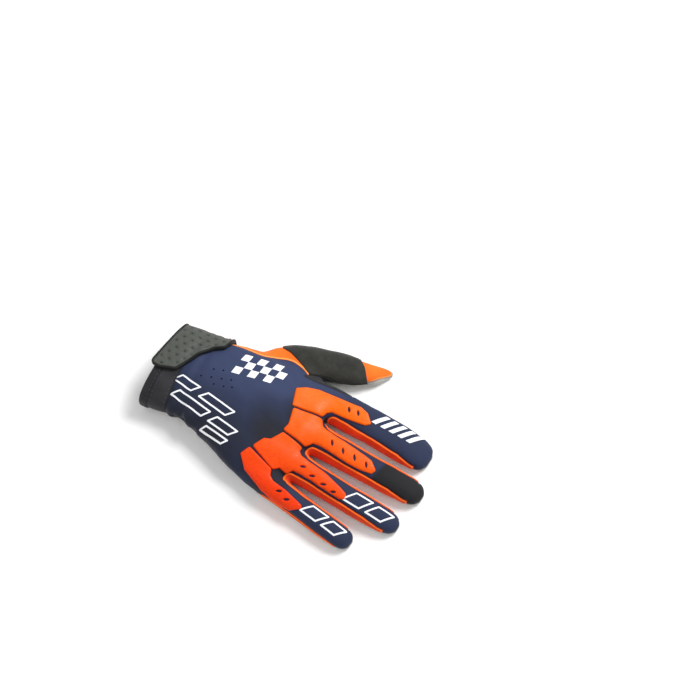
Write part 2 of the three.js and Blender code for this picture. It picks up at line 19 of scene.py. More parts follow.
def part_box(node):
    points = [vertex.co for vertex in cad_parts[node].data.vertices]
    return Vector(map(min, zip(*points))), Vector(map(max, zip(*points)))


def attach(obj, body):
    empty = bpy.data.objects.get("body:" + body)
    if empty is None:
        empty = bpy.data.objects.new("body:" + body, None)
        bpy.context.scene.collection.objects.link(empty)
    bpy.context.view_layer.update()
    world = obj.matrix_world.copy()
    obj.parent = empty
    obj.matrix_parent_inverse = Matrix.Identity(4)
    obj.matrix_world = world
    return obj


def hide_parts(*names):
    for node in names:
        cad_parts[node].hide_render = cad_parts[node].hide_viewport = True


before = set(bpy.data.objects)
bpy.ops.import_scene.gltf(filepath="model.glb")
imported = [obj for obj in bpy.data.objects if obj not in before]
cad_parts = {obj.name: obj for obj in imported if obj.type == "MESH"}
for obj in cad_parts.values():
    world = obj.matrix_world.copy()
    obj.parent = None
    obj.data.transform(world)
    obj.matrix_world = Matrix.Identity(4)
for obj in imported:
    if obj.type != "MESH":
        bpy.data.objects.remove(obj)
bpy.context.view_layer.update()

# %% [markdown]
# A glove is measured in millimetres, from the middle of its wrist opening, with x along the fingers and y
# towards the thumb. Everything below is worked out in those terms. Only a finished piece is turned into
# metres and moved to its place in the frame, so one small function does that for all of them.

# %% Sizes of the hand in millimetres
MM = 0.001
WRIST = Vector((-109.53, -8.756, 0.0))
PALM_LENGTH = 131.0
WRIST_WIDTH = 70.0
PALM_WIDTH = 101.0
WRIST_HEIGHT = 30.0
PALM_HEIGHT = 29.0
KNUCKLE_HEIGHT = 22.0
FINGERTIP_HEIGHT = 13.0
KNUCKLE_RAKE = 14.0
RAKE_POWER = 3.0
CREST = 0.55

low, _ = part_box("cuff_binding")
print("wrist edge at x =", round(low.x / MM, 2), "mm, planned", WRIST.x)

# %% [markdown]
# The hand and the digits are tubes that change along their length. Each row of a table is one section: a
# share of the length, and shares of the sizes there. A curve through the rows gives as many sections as a
# smooth surface needs, where a straight loft would show every row as a crease.

# %% Tables of sections
HAND_START = -0.092
# along, spread, ulnar, radial, height, rake
HAND_ROWS = np.array([
    (HAND_START, 0.0, 1.0, 0.98, 1.0, 0.0),
    (0.0, 0.0, 1.0, 0.98, 1.0, 0.0),
    (0.12, 0.0, 0.965, 1.04, 1.0, 0.0),
    (0.155, 0.0, 0.93, 1.055, 0.965, 0.0),
    (0.19, 0.0, 0.96, 1.07, 1.0, 0.0),
    (0.225, 0.0, 0.91, 1.085, 0.97, 0.0),
    (0.26, 0.0, 0.94, 1.1, 1.005, 0.0),
    (0.38, 0.33, 0.91, 1.07, 1.0, 0.0),
    (0.5, 0.66, 0.91, 1.0, 1.0, 0.05),
    (0.64, 0.9, 0.97, 0.95, 1.0, 0.2),
    (0.77, 1.0, 1.02, 0.93, 1.0, 0.45),
    (0.9, 1.0, 1.07, 0.91, 1.0, 0.8),
    (0.975, 1.0, 1.06, 0.89, 0.98, 1.0),
    (1.0, 1.0, 1.03, 0.86, 0.86, 1.0),
])
# along, flare, width, height, lift, shift
FINGER_ROWS = np.array([
    (0.0, 0.6, 0.66, 0.94, 0.0, 0.0),
    (0.24, 0.97, 1.0, 1.0, 0.0, 0.0),
    (0.31, 0.5, 1.0, 1.0, 0.0, 0.0),
    (0.43, 0.1, 1.02, 1.0, 0.0, 0.0),
    (0.62, 0.0, 1.0, 1.0, 0.0, 0.0),
    (0.85, 0.0, 0.97, 0.99, 0.0, 0.0),
    (0.935, 0.0, 0.87, 0.89, 0.04, 0.0),
    (0.98, 0.0, 0.62, 0.7, 0.11, 0.0),
    (1.0, 0.0, 0.32, 0.48, 0.2, 0.0),
])
THUMB_ROWS = np.array([
    (0.0, 0.0, 0.45, 0.9, 0.0, 0.0),
    (0.14, 0.0, 0.92, 1.0, 0.0, 0.07),
    (0.28, 0.0, 1.06, 1.04, 0.0, 0.12),
    (0.44, 0.0, 1.04, 1.05, 0.0, 0.1),
    (0.57, 0.0, 1.0, 1.04, 0.0, 0.03),
    (0.69, 0.0, 0.93, 1.02, 0.0, -0.05),
    (0.79, 0.0, 0.76, 0.98, 0.0, -0.1),
    (0.89, 0.0, 0.56, 0.86, 0.04, -0.1),
    (0.96, 0.0, 0.34, 0.66, 0.1, -0.04),
    (1.0, 0.0, 0.16, 0.42, 0.18, 0.0),
])

Digit = namedtuple("Digit", "length width root_width root_height tip_height root heading bow rows")
KNUCKLE_TO_TIP = (KNUCKLE_HEIGHT, FINGERTIP_HEIGHT)
DIGITS = {
    "index": Digit(116.0, 27.0, 1.09, *KNUCKLE_TO_TIP, (0.763, 0.333), -2.8, 0.055, FINGER_ROWS),
    "middle": Digit(124.0, 22.0, 1.25, *KNUCKLE_TO_TIP, (0.763, 0.048), -2.5, -0.03, FINGER_ROWS),
    "ring": Digit(121.0, 20.4, 1.27, *KNUCKLE_TO_TIP, (0.748, -0.202), -4.6, -0.04, FINGER_ROWS),
    "little": Digit(103.0, 18.6, 1.12, *KNUCKLE_TO_TIP, (0.702, -0.402), -9.5, -0.02, FINGER_ROWS),
    "thumb": Digit(107.0, 25.0, 1.0, 19.0, 12.0, (0.458, 0.356), 24.4, 0.0, THUMB_ROWS),
}


def column(rows, number, share):
    """A table's column at a share of the length, on a smooth curve through its rows."""
    x, y = rows[:, 0], rows[:, number]
    slope = np.gradient(y, x)
    i = np.clip(np.searchsorted(x, share) - 1, 0, len(x) - 2)
    step = x[i + 1] - x[i]
    t = np.clip((share - x[i]) / step, 0.0, 1.0)
    return (
        y[i] * (1 + 2 * t) * (1 - t) ** 2
        + slope[i] * step * t * (1 - t) ** 2
        + y[i + 1] * t * t * (3 - 2 * t)
        + slope[i + 1] * step * t * t * (t - 1)
    )


print("tables:", len(HAND_ROWS), "hand sections,", len(DIGITS), "digits")

# %% [markdown]
# Seen from its end, a stuffed finger is a rounded box that lies flat on the table. A superellipse gives
# such a shape from four numbers: how far it reaches to each side, its sole and its top. The part of it
# below the sole is cut off level, which is where the glove's weight presses the cloth flat.

# %% One section, and places along the hand and the digits
WIDEST_LEVEL = 0.43
TOP_POWER = 2.5
SOLE_POWER = 2.6
SOLE_SAG = 0.06
SOLE_SHARE = 0.2


def section(turn, right, left, sole, top):
    """Places (across, z) on a section for turns from 0 to 1, over the top and back along the sole."""
    widest = sole + (top - sole) * WIDEST_LEVEL
    bottom = sole - SOLE_SAG * (top - sole)
    under = np.arcsin(((widest - sole) / (widest - bottom)) ** (SOLE_POWER / 2))
    round_share = np.clip(turn / (1 - SOLE_SHARE), 0, 1)
    angle = -under + (math.pi + 2 * under) * round_share
    c, s = np.cos(angle), np.sin(angle)
    power = np.where(s > 0, TOP_POWER, SOLE_POWER)
    across = np.sign(c) * np.abs(c) ** (2 / power) * np.where(c > 0, right, left)
    z = widest + np.sign(s) * np.abs(s) ** (2 / power) * np.where(s > 0, top - widest, widest - bottom)
    back = np.clip((turn - 1 + SOLE_SHARE) / SOLE_SHARE, 0, 1)
    edge = np.cos(under) ** (2 / SOLE_POWER)
    on_sole = turn > 1 - SOLE_SHARE
    across = np.where(on_sole, edge * (back * right - (1 - back) * left), across)
    return across, np.where(on_sole, sole, z)


def knuckle_fall(across):
    """How far back from the end of the palm the knuckle line lies."""
    return KNUCKLE_RAKE * np.maximum(0.5 - across / PALM_WIDTH, 0) ** RAKE_POWER


def hand_height(share):
    rising = WRIST_HEIGHT + (PALM_HEIGHT - WRIST_HEIGHT) * share / CREST
    t = np.clip((share - CREST) / (1 - CREST), 0, 1)
    falling = PALM_HEIGHT + (KNUCKLE_HEIGHT - PALM_HEIGHT) * t * t * (3 - 2 * t)
    return np.where(share < CREST, rising, falling)


def hand_place(share, turn, offset=0.0):
    """Places on the hand, offset mm outside its skin."""
    half = (WRIST_WIDTH + (PALM_WIDTH - WRIST_WIDTH) * column(HAND_ROWS, 1, share)) / 2
    across, z = section(
        turn,
        half * column(HAND_ROWS, 3, share) + offset,
        half * column(HAND_ROWS, 2, share) + offset,
        0.0 * share,
        hand_height(share) * column(HAND_ROWS, 4, share) + offset,
    )
    x = share * PALM_LENGTH - column(HAND_ROWS, 5, share) * knuckle_fall(across)
    return np.stack([x, across, z], axis=-1)


def digit_height(digit, distance):
    share = np.clip(distance / digit.length, 0, 1)
    return digit.root_height + (digit.tip_height - digit.root_height) * share


def on_digit(digit, distance, across):
    """The x and y of a place so far along a digit and so far to its thumb side."""
    turn = math.radians(digit.heading)
    share = np.clip(distance / digit.length, 0, 1)
    aside = across + digit.bow * digit.width * np.sin(math.pi * share)
    x = digit.root[0] * PALM_LENGTH + math.cos(turn) * distance - math.sin(turn) * aside
    y = digit.root[1] * PALM_WIDTH + math.sin(turn) * distance + math.cos(turn) * aside
    return x, y


def from_digit(digit, places):
    """How far along a digit places lie, and how far to its thumb side."""
    turn = math.radians(digit.heading)
    dx = places[:, 0] - digit.root[0] * PALM_LENGTH
    dy = places[:, 1] - digit.root[1] * PALM_WIDTH
    distance = math.cos(turn) * dx + math.sin(turn) * dy
    share = np.clip(distance / digit.length, 0, 1)
    aside = -math.sin(turn) * dx + math.cos(turn) * dy
    return distance, aside - digit.bow * digit.width * np.sin(math.pi * share)


def digit_place(digit, share, turn):
    """Places on a digit's skin."""
    rows = digit.rows
    flare = column(rows, 1, share)
    half = digit.width * column(rows, 2, share) * (1 + (digit.root_width - 1) * flare) / 2
    height = digit_height(digit, share * digit.length) * column(rows, 3, share)
    across, z = section(turn, half, half, column(rows, 4, share) * height, height)
    x, y = on_digit(digit, share * digit.length, across + column(rows, 5, share) * digit.width)
    return np.stack([x, y, z], axis=-1)


# %% [markdown]
# A tube is a flat grid rolled up: one direction of the grid runs along the hand and the other round it. The
# two edges that meet are merged and the ends are filled, which makes six closed forms that overlap like a
# hand and its fingers. A voxel remesh melts them into one skin, as a mitten of clay would be, and a little
# smoothing rounds the forks between the fingers. A boolean join would leave a sharp line there.

# %% One skin for the whole hand
RINGS = 72
SIDES = 72
VOXEL = 1.0
TOUCHING = 1e-4


def placed(name, data):
    """A new object in the scene."""
    made = bpy.data.objects.new(name, data)
    bpy.context.scene.collection.objects.link(made)
    return made


def tube(bm, place):
    """Adds a closed tube to bm, from a function of (share of length, turn round it)."""
    grid = bmesh.ops.create_grid(bm, x_segments=RINGS, y_segments=SIDES, size=0.5)["verts"]
    flat = np.array([v.co[:2] for v in grid]) + 0.5
    if place is hand_place:
        share = flat[:, 0] * (1 - HAND_START) + HAND_START
    else:
        share = np.sin(flat[:, 0] * math.pi / 2)
    turn = np.where(flat[:, 1] > 1 - 1e-6, 0.0, flat[:, 1])
    for v, co in zip(grid, place(share, turn)):
        v.co = co
    bmesh.ops.remove_doubles(bm, verts=grid, dist=TOUCHING)


def remeshed(bm, voxel):
    """A bmesh's closed forms melted into one by Blender's voxel remesh."""
    mesh = bpy.data.meshes.new("forms")
    bm.to_mesh(mesh)
    forms = placed("forms", mesh)
    modifier = forms.modifiers.new("melt", "REMESH")
    modifier.mode = "VOXEL"
    modifier.voxel_size = voxel
    melted = bpy.data.meshes.new_from_object(forms.evaluated_get(bpy.context.evaluated_depsgraph_get()))
    result = bmesh.new()
    result.from_mesh(melted)
    bpy.data.objects.remove(forms)
    return result


forms = bmesh.new()
tube(forms, hand_place)
for digit in DIGITS.values():
    tube(forms, lambda share, turn: digit_place(digit, share, turn))
bmesh.ops.holes_fill(forms, edges=[e for e in forms.edges if e.is_boundary], sides=0)
bmesh.ops.recalc_face_normals(forms, faces=forms.faces)
skin = remeshed(forms, VOXEL)
forms.free()


def relax(bm, wanted, times):
    """Smooths the points for which wanted(place) holds."""
    chosen = [v for v in bm.verts if wanted(v.co)]
    for _ in range(times):
        bmesh.ops.smooth_vert(bm, verts=chosen, factor=0.5, use_axis_x=True, use_axis_y=True, use_axis_z=True)


# where digits meet the hand: from and to along x, from and to along y, above this height, times
MEETINGS = [
    (92, 152, -99, 50, 9.0, 45), (86, 158, -99, 50, 6.0, 12), (60, 92, 30, 99, 8.0, 30),
    (90, 142, 39, 56, 3.5, 25),
]
relax(skin, lambda co: True, 2)
for x0, x1, y0, y1, lowest, times in MEETINGS:
    relax(skin, lambda co: x0 < co.x < x1 and y0 < co.y < y1 and co.z > lowest, times)
print("skin:", len(skin.verts), "vertices")

# %% [markdown]
# The seams are drawn on the skin as lines where some number changes sign: the height above a sewing line,
# the distance from an outline seen from above, or the distance past a finger's side. To cut along such a
# line, each point is moved for a moment so that its height is that number, a plain level cut is made at
# zero, and the points go home. Blender's Bisect does the cut, and a vertex layer remembers where home is.

# %% Cut new edges where a number changes sign
CUT_TOLERANCE = 1e-5
home = skin.verts.layers.float_vector.new("home")


def places_of(bm):
    return np.array([v.co for v in bm.verts])


def centres_of(bm):
    return np.array([f.calc_center_median() for f in bm.faces])


def without_faces(bm, gone):
    """Deletes each face for which the list gone says so."""
    bmesh.ops.delete(bm, geom=[f for f, out in zip(bm.faces, gone) if out], context="FACES")


def shade_smooth(bm):
    for f in bm.faces:
        f.smooth = True


def imprint(bm, field, layer):
    """Cuts the faces of bm along the line where field(places) is zero."""
    value = field(places_of(bm))
    for v, number in zip(bm.verts, value):
        v[layer] = v.co
        v.co.z = number
    crossed = [f for f in bm.faces if min(v.co.z for v in f.verts) < 0 < max(v.co.z for v in f.verts)]
    edges = {e for f in crossed for e in f.edges}
    verts = {v for f in crossed for v in f.verts}
    bmesh.ops.bisect_plane(
        bm, geom=[*verts, *edges, *crossed], dist=CUT_TOLERANCE, plane_co=(0, 0, 0), plane_no=(0, 0, 1)
    )
    for v in bm.verts:
        v.co = v[layer]


def outline_field(points):
    """A function for how far places lie outside a closed outline seen from above, below zero inside."""
    start = np.array(points, float)
    end = np.roll(start, -1, axis=0)

    def field(places):
        px, py = places[:, 0:1], places[:, 1:2]
        side = end - start
        t = ((px - start[:, 0]) * side[:, 0] + (py - start[:, 1]) * side[:, 1]) / (side**2).sum(1)
        t = np.clip(t, 0, 1)
        away = np.hypot(px - start[:, 0] - t * side[:, 0], py - start[:, 1] - t * side[:, 1]).min(1)
        straddles = (start[:, 1] > py) != (end[:, 1] > py)
        rise = np.where(side[:, 1] == 0, 1.0, side[:, 1])
        crossing = start[:, 0] + (py - start[:, 1]) * side[:, 0] / rise
        inside = (straddles & (px < crossing)).sum(1) % 2 == 1
        return np.where(inside, -away, away)

    return field


def moved_outline(points, distance):
    """An outline with each side moved outwards by a distance, or inwards if it is negative."""
    points = np.array(points, float)
    before = points - np.roll(points, 1, axis=0)
    after = np.roll(points, -1, axis=0) - points
    turn = np.sign((before[:, 0] * after[:, 1] - before[:, 1] * after[:, 0]).sum())
    before /= np.linalg.norm(before, axis=1)[:, None]
    after /= np.linalg.norm(after, axis=1)[:, None]
    outward = np.stack([before[:, 1] + after[:, 1], -before[:, 0] - after[:, 0]], axis=1)
    return points + outward * (turn * distance / (1 + (before * after).sum(1)))[:, None]


def round_field(points, radius):
    """As outline_field, with the outline's outer corners rounded."""
    inner = outline_field(moved_outline(points, -radius))
    return lambda places: inner(places) - radius


print("tools for cutting are ready")

# %% [markdown]
# The panels of this glove are few: a suede palm that runs out to every fingertip, a printed cloth back,
# strips of orange stretch cloth between the fingers and along the free sides, an orange thumb with a black
# strip in its fork, and a black cuff. The order matters, because each panel is what the ones before it have
# left.

# %% Panels by their seams
WRIST_SEAM, KNUCKLE_SEAM, TIP_SEAM = 9.0, 5.0, 4.0
CUFF_FRONT = 18.0
CUFF_SLANT = 1.25
CUFF_SLANT_RUN = CUFF_FRONT * (CUFF_SLANT - 1)
BEHIND_WRIST = -60.0
THUMB_TIP_CLIMB = 4.2
FORK_START = 2.4
INDEX_SIDE_START = 11.0
LITTLE_SIDE_START = -4.0
TIP_CAP = 8.0
SIDE_REACH = 3.0
STRIP_CORNER = 5.0
STRIP_TOP = 0.86
INDEX_SIDE_TOP = 0.5
LITTLE_SIDE_TOPS = (0.46, 0.6)
TIP_DROP = 0.77
PIPING_MIDDLE = 0.9
MERGED, SLIVER = 0.15, 0.05
FAR_END = 260.0
THUMB_ZONE = [
    (-0.2, 0.31), (0.08, 0.33), (0.24, 0.358), (0.35, 0.38), (0.495, 0.392), (0.565, 0.431), (0.64, 0.468),
    (0.7, 0.47), (0.76, 0.453), (0.82, 0.41), (0.88, 0.45), (1.14, 0.53), (1.4, 0.65), (1.4, 1.2),
    (-0.2, 1.2),
]
THUMB_FORK_ZONE = [(0.78, 0.405), (0.88, 0.412), (1.06, 0.442), (1.06, 0.51), (0.9, 0.51), (0.8, 0.455)]


def ease(low_edge, high_edge, value):
    """A share that goes from 0 to 1 between two values, without corners."""
    t = np.clip((value - low_edge) / (high_edge - low_edge), 0, 1)
    return t * t * (3 - 2 * t)


def in_palm_shares(rows):
    """Places in mm from shares of the palm's length and width."""
    return [(along * PALM_LENGTH, across * PALM_WIDTH) for along, across in rows]


def seam_height(x):
    """How high the seam between palm and back runs."""
    return np.interp(x, [0, PALM_LENGTH, FAR_END], [WRIST_SEAM, KNUCKLE_SEAM, TIP_SEAM])


def palm_field(places):
    """How far places are above the palm's seam, which climbs on the inner side of the thumb's tip."""
    distance, across = from_digit(DIGITS["thumb"], places)
    climb = THUMB_TIP_CLIMB * ease(62, 76, distance) * ease(-2, -8, across) * ease(40, 50, places[:, 1])
    return places[:, 2] - seam_height(places[:, 0]) - climb


def round_and(first, second, radius):
    """Where both of two fields are below zero, with the corner between them rounded."""
    corner = np.hypot(np.maximum(first + radius, 0), np.maximum(second + radius, 0)) - radius
    return np.where((first > -radius) & (second > -radius), corner, np.maximum(first, second))


def beside(name, side, past_knuckles, across_hand, first_top=STRIP_TOP, main_top=STRIP_TOP):
    """The strip along one side of a digit, up to a seam at shares of its height, as a field."""
    digit = DIGITS[name]
    reach = digit.width * digit.root_width / 2 + SIDE_REACH
    start = (1 - digit.root[0]) * PALM_LENGTH - knuckle_fall(across_hand) + past_knuckles
    stop = digit.length - TIP_CAP

    def field(places):
        distance, across = from_digit(digit, places)
        share = (distance - start) / (stop - start)
        tops = [first_top, main_top, main_top, TIP_DROP * main_top]
        top = digit_height(digit, distance) * np.interp(share, [0, 0.4, 0.8, 1.0], tops)
        far = np.maximum.reduce([distance - stop, -side * across, side * across - reach])
        return np.maximum(far, round_and(start - distance, places[:, 2] - top, STRIP_CORNER))

    return field


def between_fingers(upper, lower):
    """The strip that runs down one finger, through the fork and up the next, as a field."""
    across = (DIGITS[upper].root[1] + DIGITS[lower].root[1]) / 2 * PALM_WIDTH
    first = beside(upper, -1, FORK_START, across)
    second = beside(lower, 1, FORK_START, across)
    return lambda places: np.minimum(first(places), second(places))


def smooth_outline(rows, steps=6):
    """A closed outline through its points without corners, in shares of the palm."""
    points = np.array(in_palm_shares(rows))
    before, after, beyond = (np.roll(points, -k, axis=0) for k in (-1, 1, 2))
    result = []
    for i in range(steps):
        t = i / steps
        result.append(
            points + 0.5 * t * (after - before)
            + t * t * (before - 2.5 * points + 2 * after - 0.5 * beyond)
            + 0.5 * t**3 * (3 * (points - after) + beyond - before)
        )
    return np.stack(result, axis=1).reshape(-1, 2)


cuff_front = [
    (BEHIND_WRIST, -PALM_WIDTH), (CUFF_FRONT * CUFF_SLANT, -PALM_WIDTH / 2), (CUFF_FRONT, 0),
    (CUFF_FRONT, PALM_WIDTH), (BEHIND_WRIST, PALM_WIDTH),
]
PANELS = {
    "palm_panel": palm_field,
    "thumb_fork": outline_field(smooth_outline(THUMB_FORK_ZONE)),
    "thumb_panel": outline_field(smooth_outline(THUMB_ZONE)),
    "cuff": outline_field(cuff_front),
    "side_index": beside("index", 1, INDEX_SIDE_START, PALM_WIDTH / 2, INDEX_SIDE_TOP, INDEX_SIDE_TOP),
    "fork_index_middle": between_fingers("index", "middle"),
    "fork_middle_ring": between_fingers("middle", "ring"),
    "fork_ring_little": between_fingers("ring", "little"),
    "side_little": beside(
        "little", -1, LITTLE_SIDE_START, DIGITS["little"].root[1] * PALM_WIDTH, *LITTLE_SIDE_TOPS
    ),
}
bmesh.ops.bisect_plane(
    skin, geom=[*skin.verts, *skin.edges, *skin.faces], dist=CUT_TOLERANCE,
    plane_co=(0, 0, 0), plane_no=(-1, 0, 0), clear_outer=True,
)
STRIPS = [name for name in PANELS if name.startswith(("side", "fork"))]
for field in PANELS.values():
    imprint(skin, field, home)
for name in STRIPS:
    imprint(skin, lambda places: PANELS[name](places) + PIPING_MIDDLE, home)
bmesh.ops.remove_doubles(skin, verts=skin.verts, dist=MERGED)
bmesh.ops.dissolve_degenerate(skin, edges=skin.edges, dist=SLIVER)
bmesh.ops.triangulate(skin, faces=[f for f in skin.faces if len(f.verts) > 4])

panel_of = skin.faces.layers.int.new("panel")
middles = centres_of(skin)
number = np.full(len(middles), len(PANELS))
for i, field in reversed(list(enumerate(PANELS.values()))):
    number[field(middles) < 0] = i
for f, n in zip(skin.faces, number):
    f[panel_of] = n
shade_smooth(skin)
PANEL_NAMES = [*PANELS, "back_panel"]
print({name: int((number == i).sum()) for i, name in enumerate(PANEL_NAMES)})

# %% [markdown]
# Where two panels are sewn together, the thread pulls the cloth down into a shallow furrow. A piping rises
# beside it on the orange strips, the cloth between seams lies a little uneven, and the palm has folds where
# the hand closes. All are moves of the points along their normals, so they cost no modifier and no texture.
# The distance to the nearest seam comes from a search tree of the points on the seams, and it is kept on the
# skin, because the materials paint shade into the furrows with it. So are the places without furrows and the
# way out of the skin, for the layers that will lie on top.

# %% Furrows, piping and folds
PIPING_RISE = 0.45
FURROW_DEPTH = 0.55
FURROW_WIDTH = 1.1
PIPING_WIDTH = 0.6
FURTHEST = 6.0
CALM_AT_WRIST = (5, 14)
CRUMPLED = 36.0
GATHERED = (92.0, 38.0)
SOLE_LEVEL = 0.4
PALM_FOLD_DEPTH = 1.0
DEEPEST_FOLD = 1.4
# from x, y to x, y, and half the width of each fold in the palm
PALM_FOLDS = [
    (22, 24, 96, -30, 1.6), (30, 33, 104, -14, 1.3), (18, 8, 70, -38, 1.5), (52, 36, 108, 6, 1.4),
    (40, -34, 88, -44, 1.2), (74, 30, 116, 26, 1.2),
]
# how far along each finger its pleats start
PLEATS = {
    "index": (28, 34, 62, 84), "middle": (27, 33, 66), "ring": (26, 32, 64), "little": (22, 28, 55),
}
PLEAT_REACH, PLEAT_LEAN, PLEAT_WIDTH = 0.42, 2, 0.7
for name, pleats in PLEATS.items():
    digit = DIGITS[name]
    half = PLEAT_REACH * digit.width
    for distance in pleats:
        start, end = on_digit(digit, distance, -half), on_digit(digit, distance + PLEAT_LEAN, half)
        PALM_FOLDS.append((*start, *end, PLEAT_WIDTH))

on_seam = [
    v.co.copy() for e in skin.edges if e.is_boundary or e.link_faces[0][panel_of] != e.link_faces[1][panel_of]
    for v in e.verts
]
seam_tree = KDTree(len(on_seam))
for i, co in enumerate(on_seam):
    seam_tree.insert(co, i)
seam_tree.balance()
seam_layer = skin.verts.layers.float.new("seam")
# The depth of the palm's folds is kept: it presses the skin in, and the suede paints shade into the folds
# from it.
crease_layer = skin.verts.layers.float.new("crease")
plain_layer = skin.verts.layers.float_vector.new("plain")
outward_layer = skin.verts.layers.float_vector.new("outward")


def cloth_folds(co):
    """How far the cloth stands out of the smooth skin: soft unevenness, drag lines and crumples."""
    soft = 0.4 * noise.noise(co / 17.0) + 0.15 * noise.noise(co / 6.0)
    drag = 0.45 * noise.noise(Vector((co.x / 34.0 - co.y / 60.0, co.y / 9.0 + co.x / 40.0, co.z / 12.0)))
    at_wrist = math.exp(-(((co.x - CRUMPLED) / 15.0) ** 2)) * float(ease(-20, -33, co.y))
    crumple = 4.5 * at_wrist * noise.noise(Vector((co.x / 6.5, co.y / 16.0, co.z / 16.0)))
    at_thumb = math.exp(-(((co.x - GATHERED[0]) / 20.0) ** 2) - (((co.y - GATHERED[1]) / 12.0) ** 2))
    gather = 0.9 * at_thumb * noise.noise(Vector(((co.x + co.y) / 9.0, (co.y - co.x) / 30.0, 3.0)))
    return soft + drag + crumple + gather


def palm_groove(co):
    """How deep the folds and pleats of the palm are at a place on the sole."""
    depth = 0.0
    for x0, y0, x1, y1, width in PALM_FOLDS:
        along = Vector((x1 - x0, y1 - y0))
        t = min(max((Vector((co.x - x0, co.y - y0)) @ along) / along.length_squared, 0.0), 1.0)
        away = math.hypot(co.x - x0 - along.x * t, co.y - y0 - along.y * t)
        depth += PALM_FOLD_DEPTH * math.exp(-((away / width) ** 2)) * (0.35 + 0.65 * math.sin(math.pi * t))
    return min(depth, DEEPEST_FOLD)


skin.normal_update()
for v in skin.verts:
    away = min(seam_tree.find(v.co)[2], FURTHEST)
    soft = cloth_folds(v.co) * min(away / 4.0 + 0.3, 1.0) * float(ease(*CALM_AT_WRIST, v.co.x))
    if v.co.z < SOLE_LEVEL:
        v[crease_layer] = palm_groove(v.co)
        soft = -abs(soft) - v[crease_layer]
    v[seam_layer] = away
    v[outward_layer] = v.normal
    v[plain_layer] = v.co + v.normal * soft
strips = {PANEL_NAMES.index(name) for name in STRIPS}
for v in skin.verts:
    furrow = FURROW_DEPTH * math.exp(-((v[seam_layer] / FURROW_WIDTH) ** 2))
    if all(f[panel_of] in strips for f in v.link_faces):
        furrow -= PIPING_RISE * math.exp(-(((v[seam_layer] - PIPING_MIDDLE) / PIPING_WIDTH) ** 2))
    v.co = v[plain_layer] - v[outward_layer] * furrow
print("seam points:", len(on_seam))

# %% [markdown]
# Every fabric gets its look from nodes that read the object's own coordinates, so that a pattern stays on the
# piece from every side. A weave is two crossed waves that only lift the surface; slow noise varies the colour
# as dye and handling do. The class below makes such nodes and wires them to one surface, and it also paints
# shade into the seams and a highlight beside them.

# %% Helpers for materials
# How wide the painted shade on a seam is, and how far the lighter line beside it reaches, in mm.
SHADE_WIDTH = 1.4
HIGHLIGHT_LINE_SPAN = 3.0


def hue(code):
    """A colour such as "ff5a0c" as the light values that a shader wants."""
    parts = [int(code[i:i + 2], 16) / 255 for i in (0, 2, 4)]
    return (*[c / 12.92 if c <= 0.04045 else ((c + 0.055) / 1.055) ** 2.4 for c in parts], 1.0)


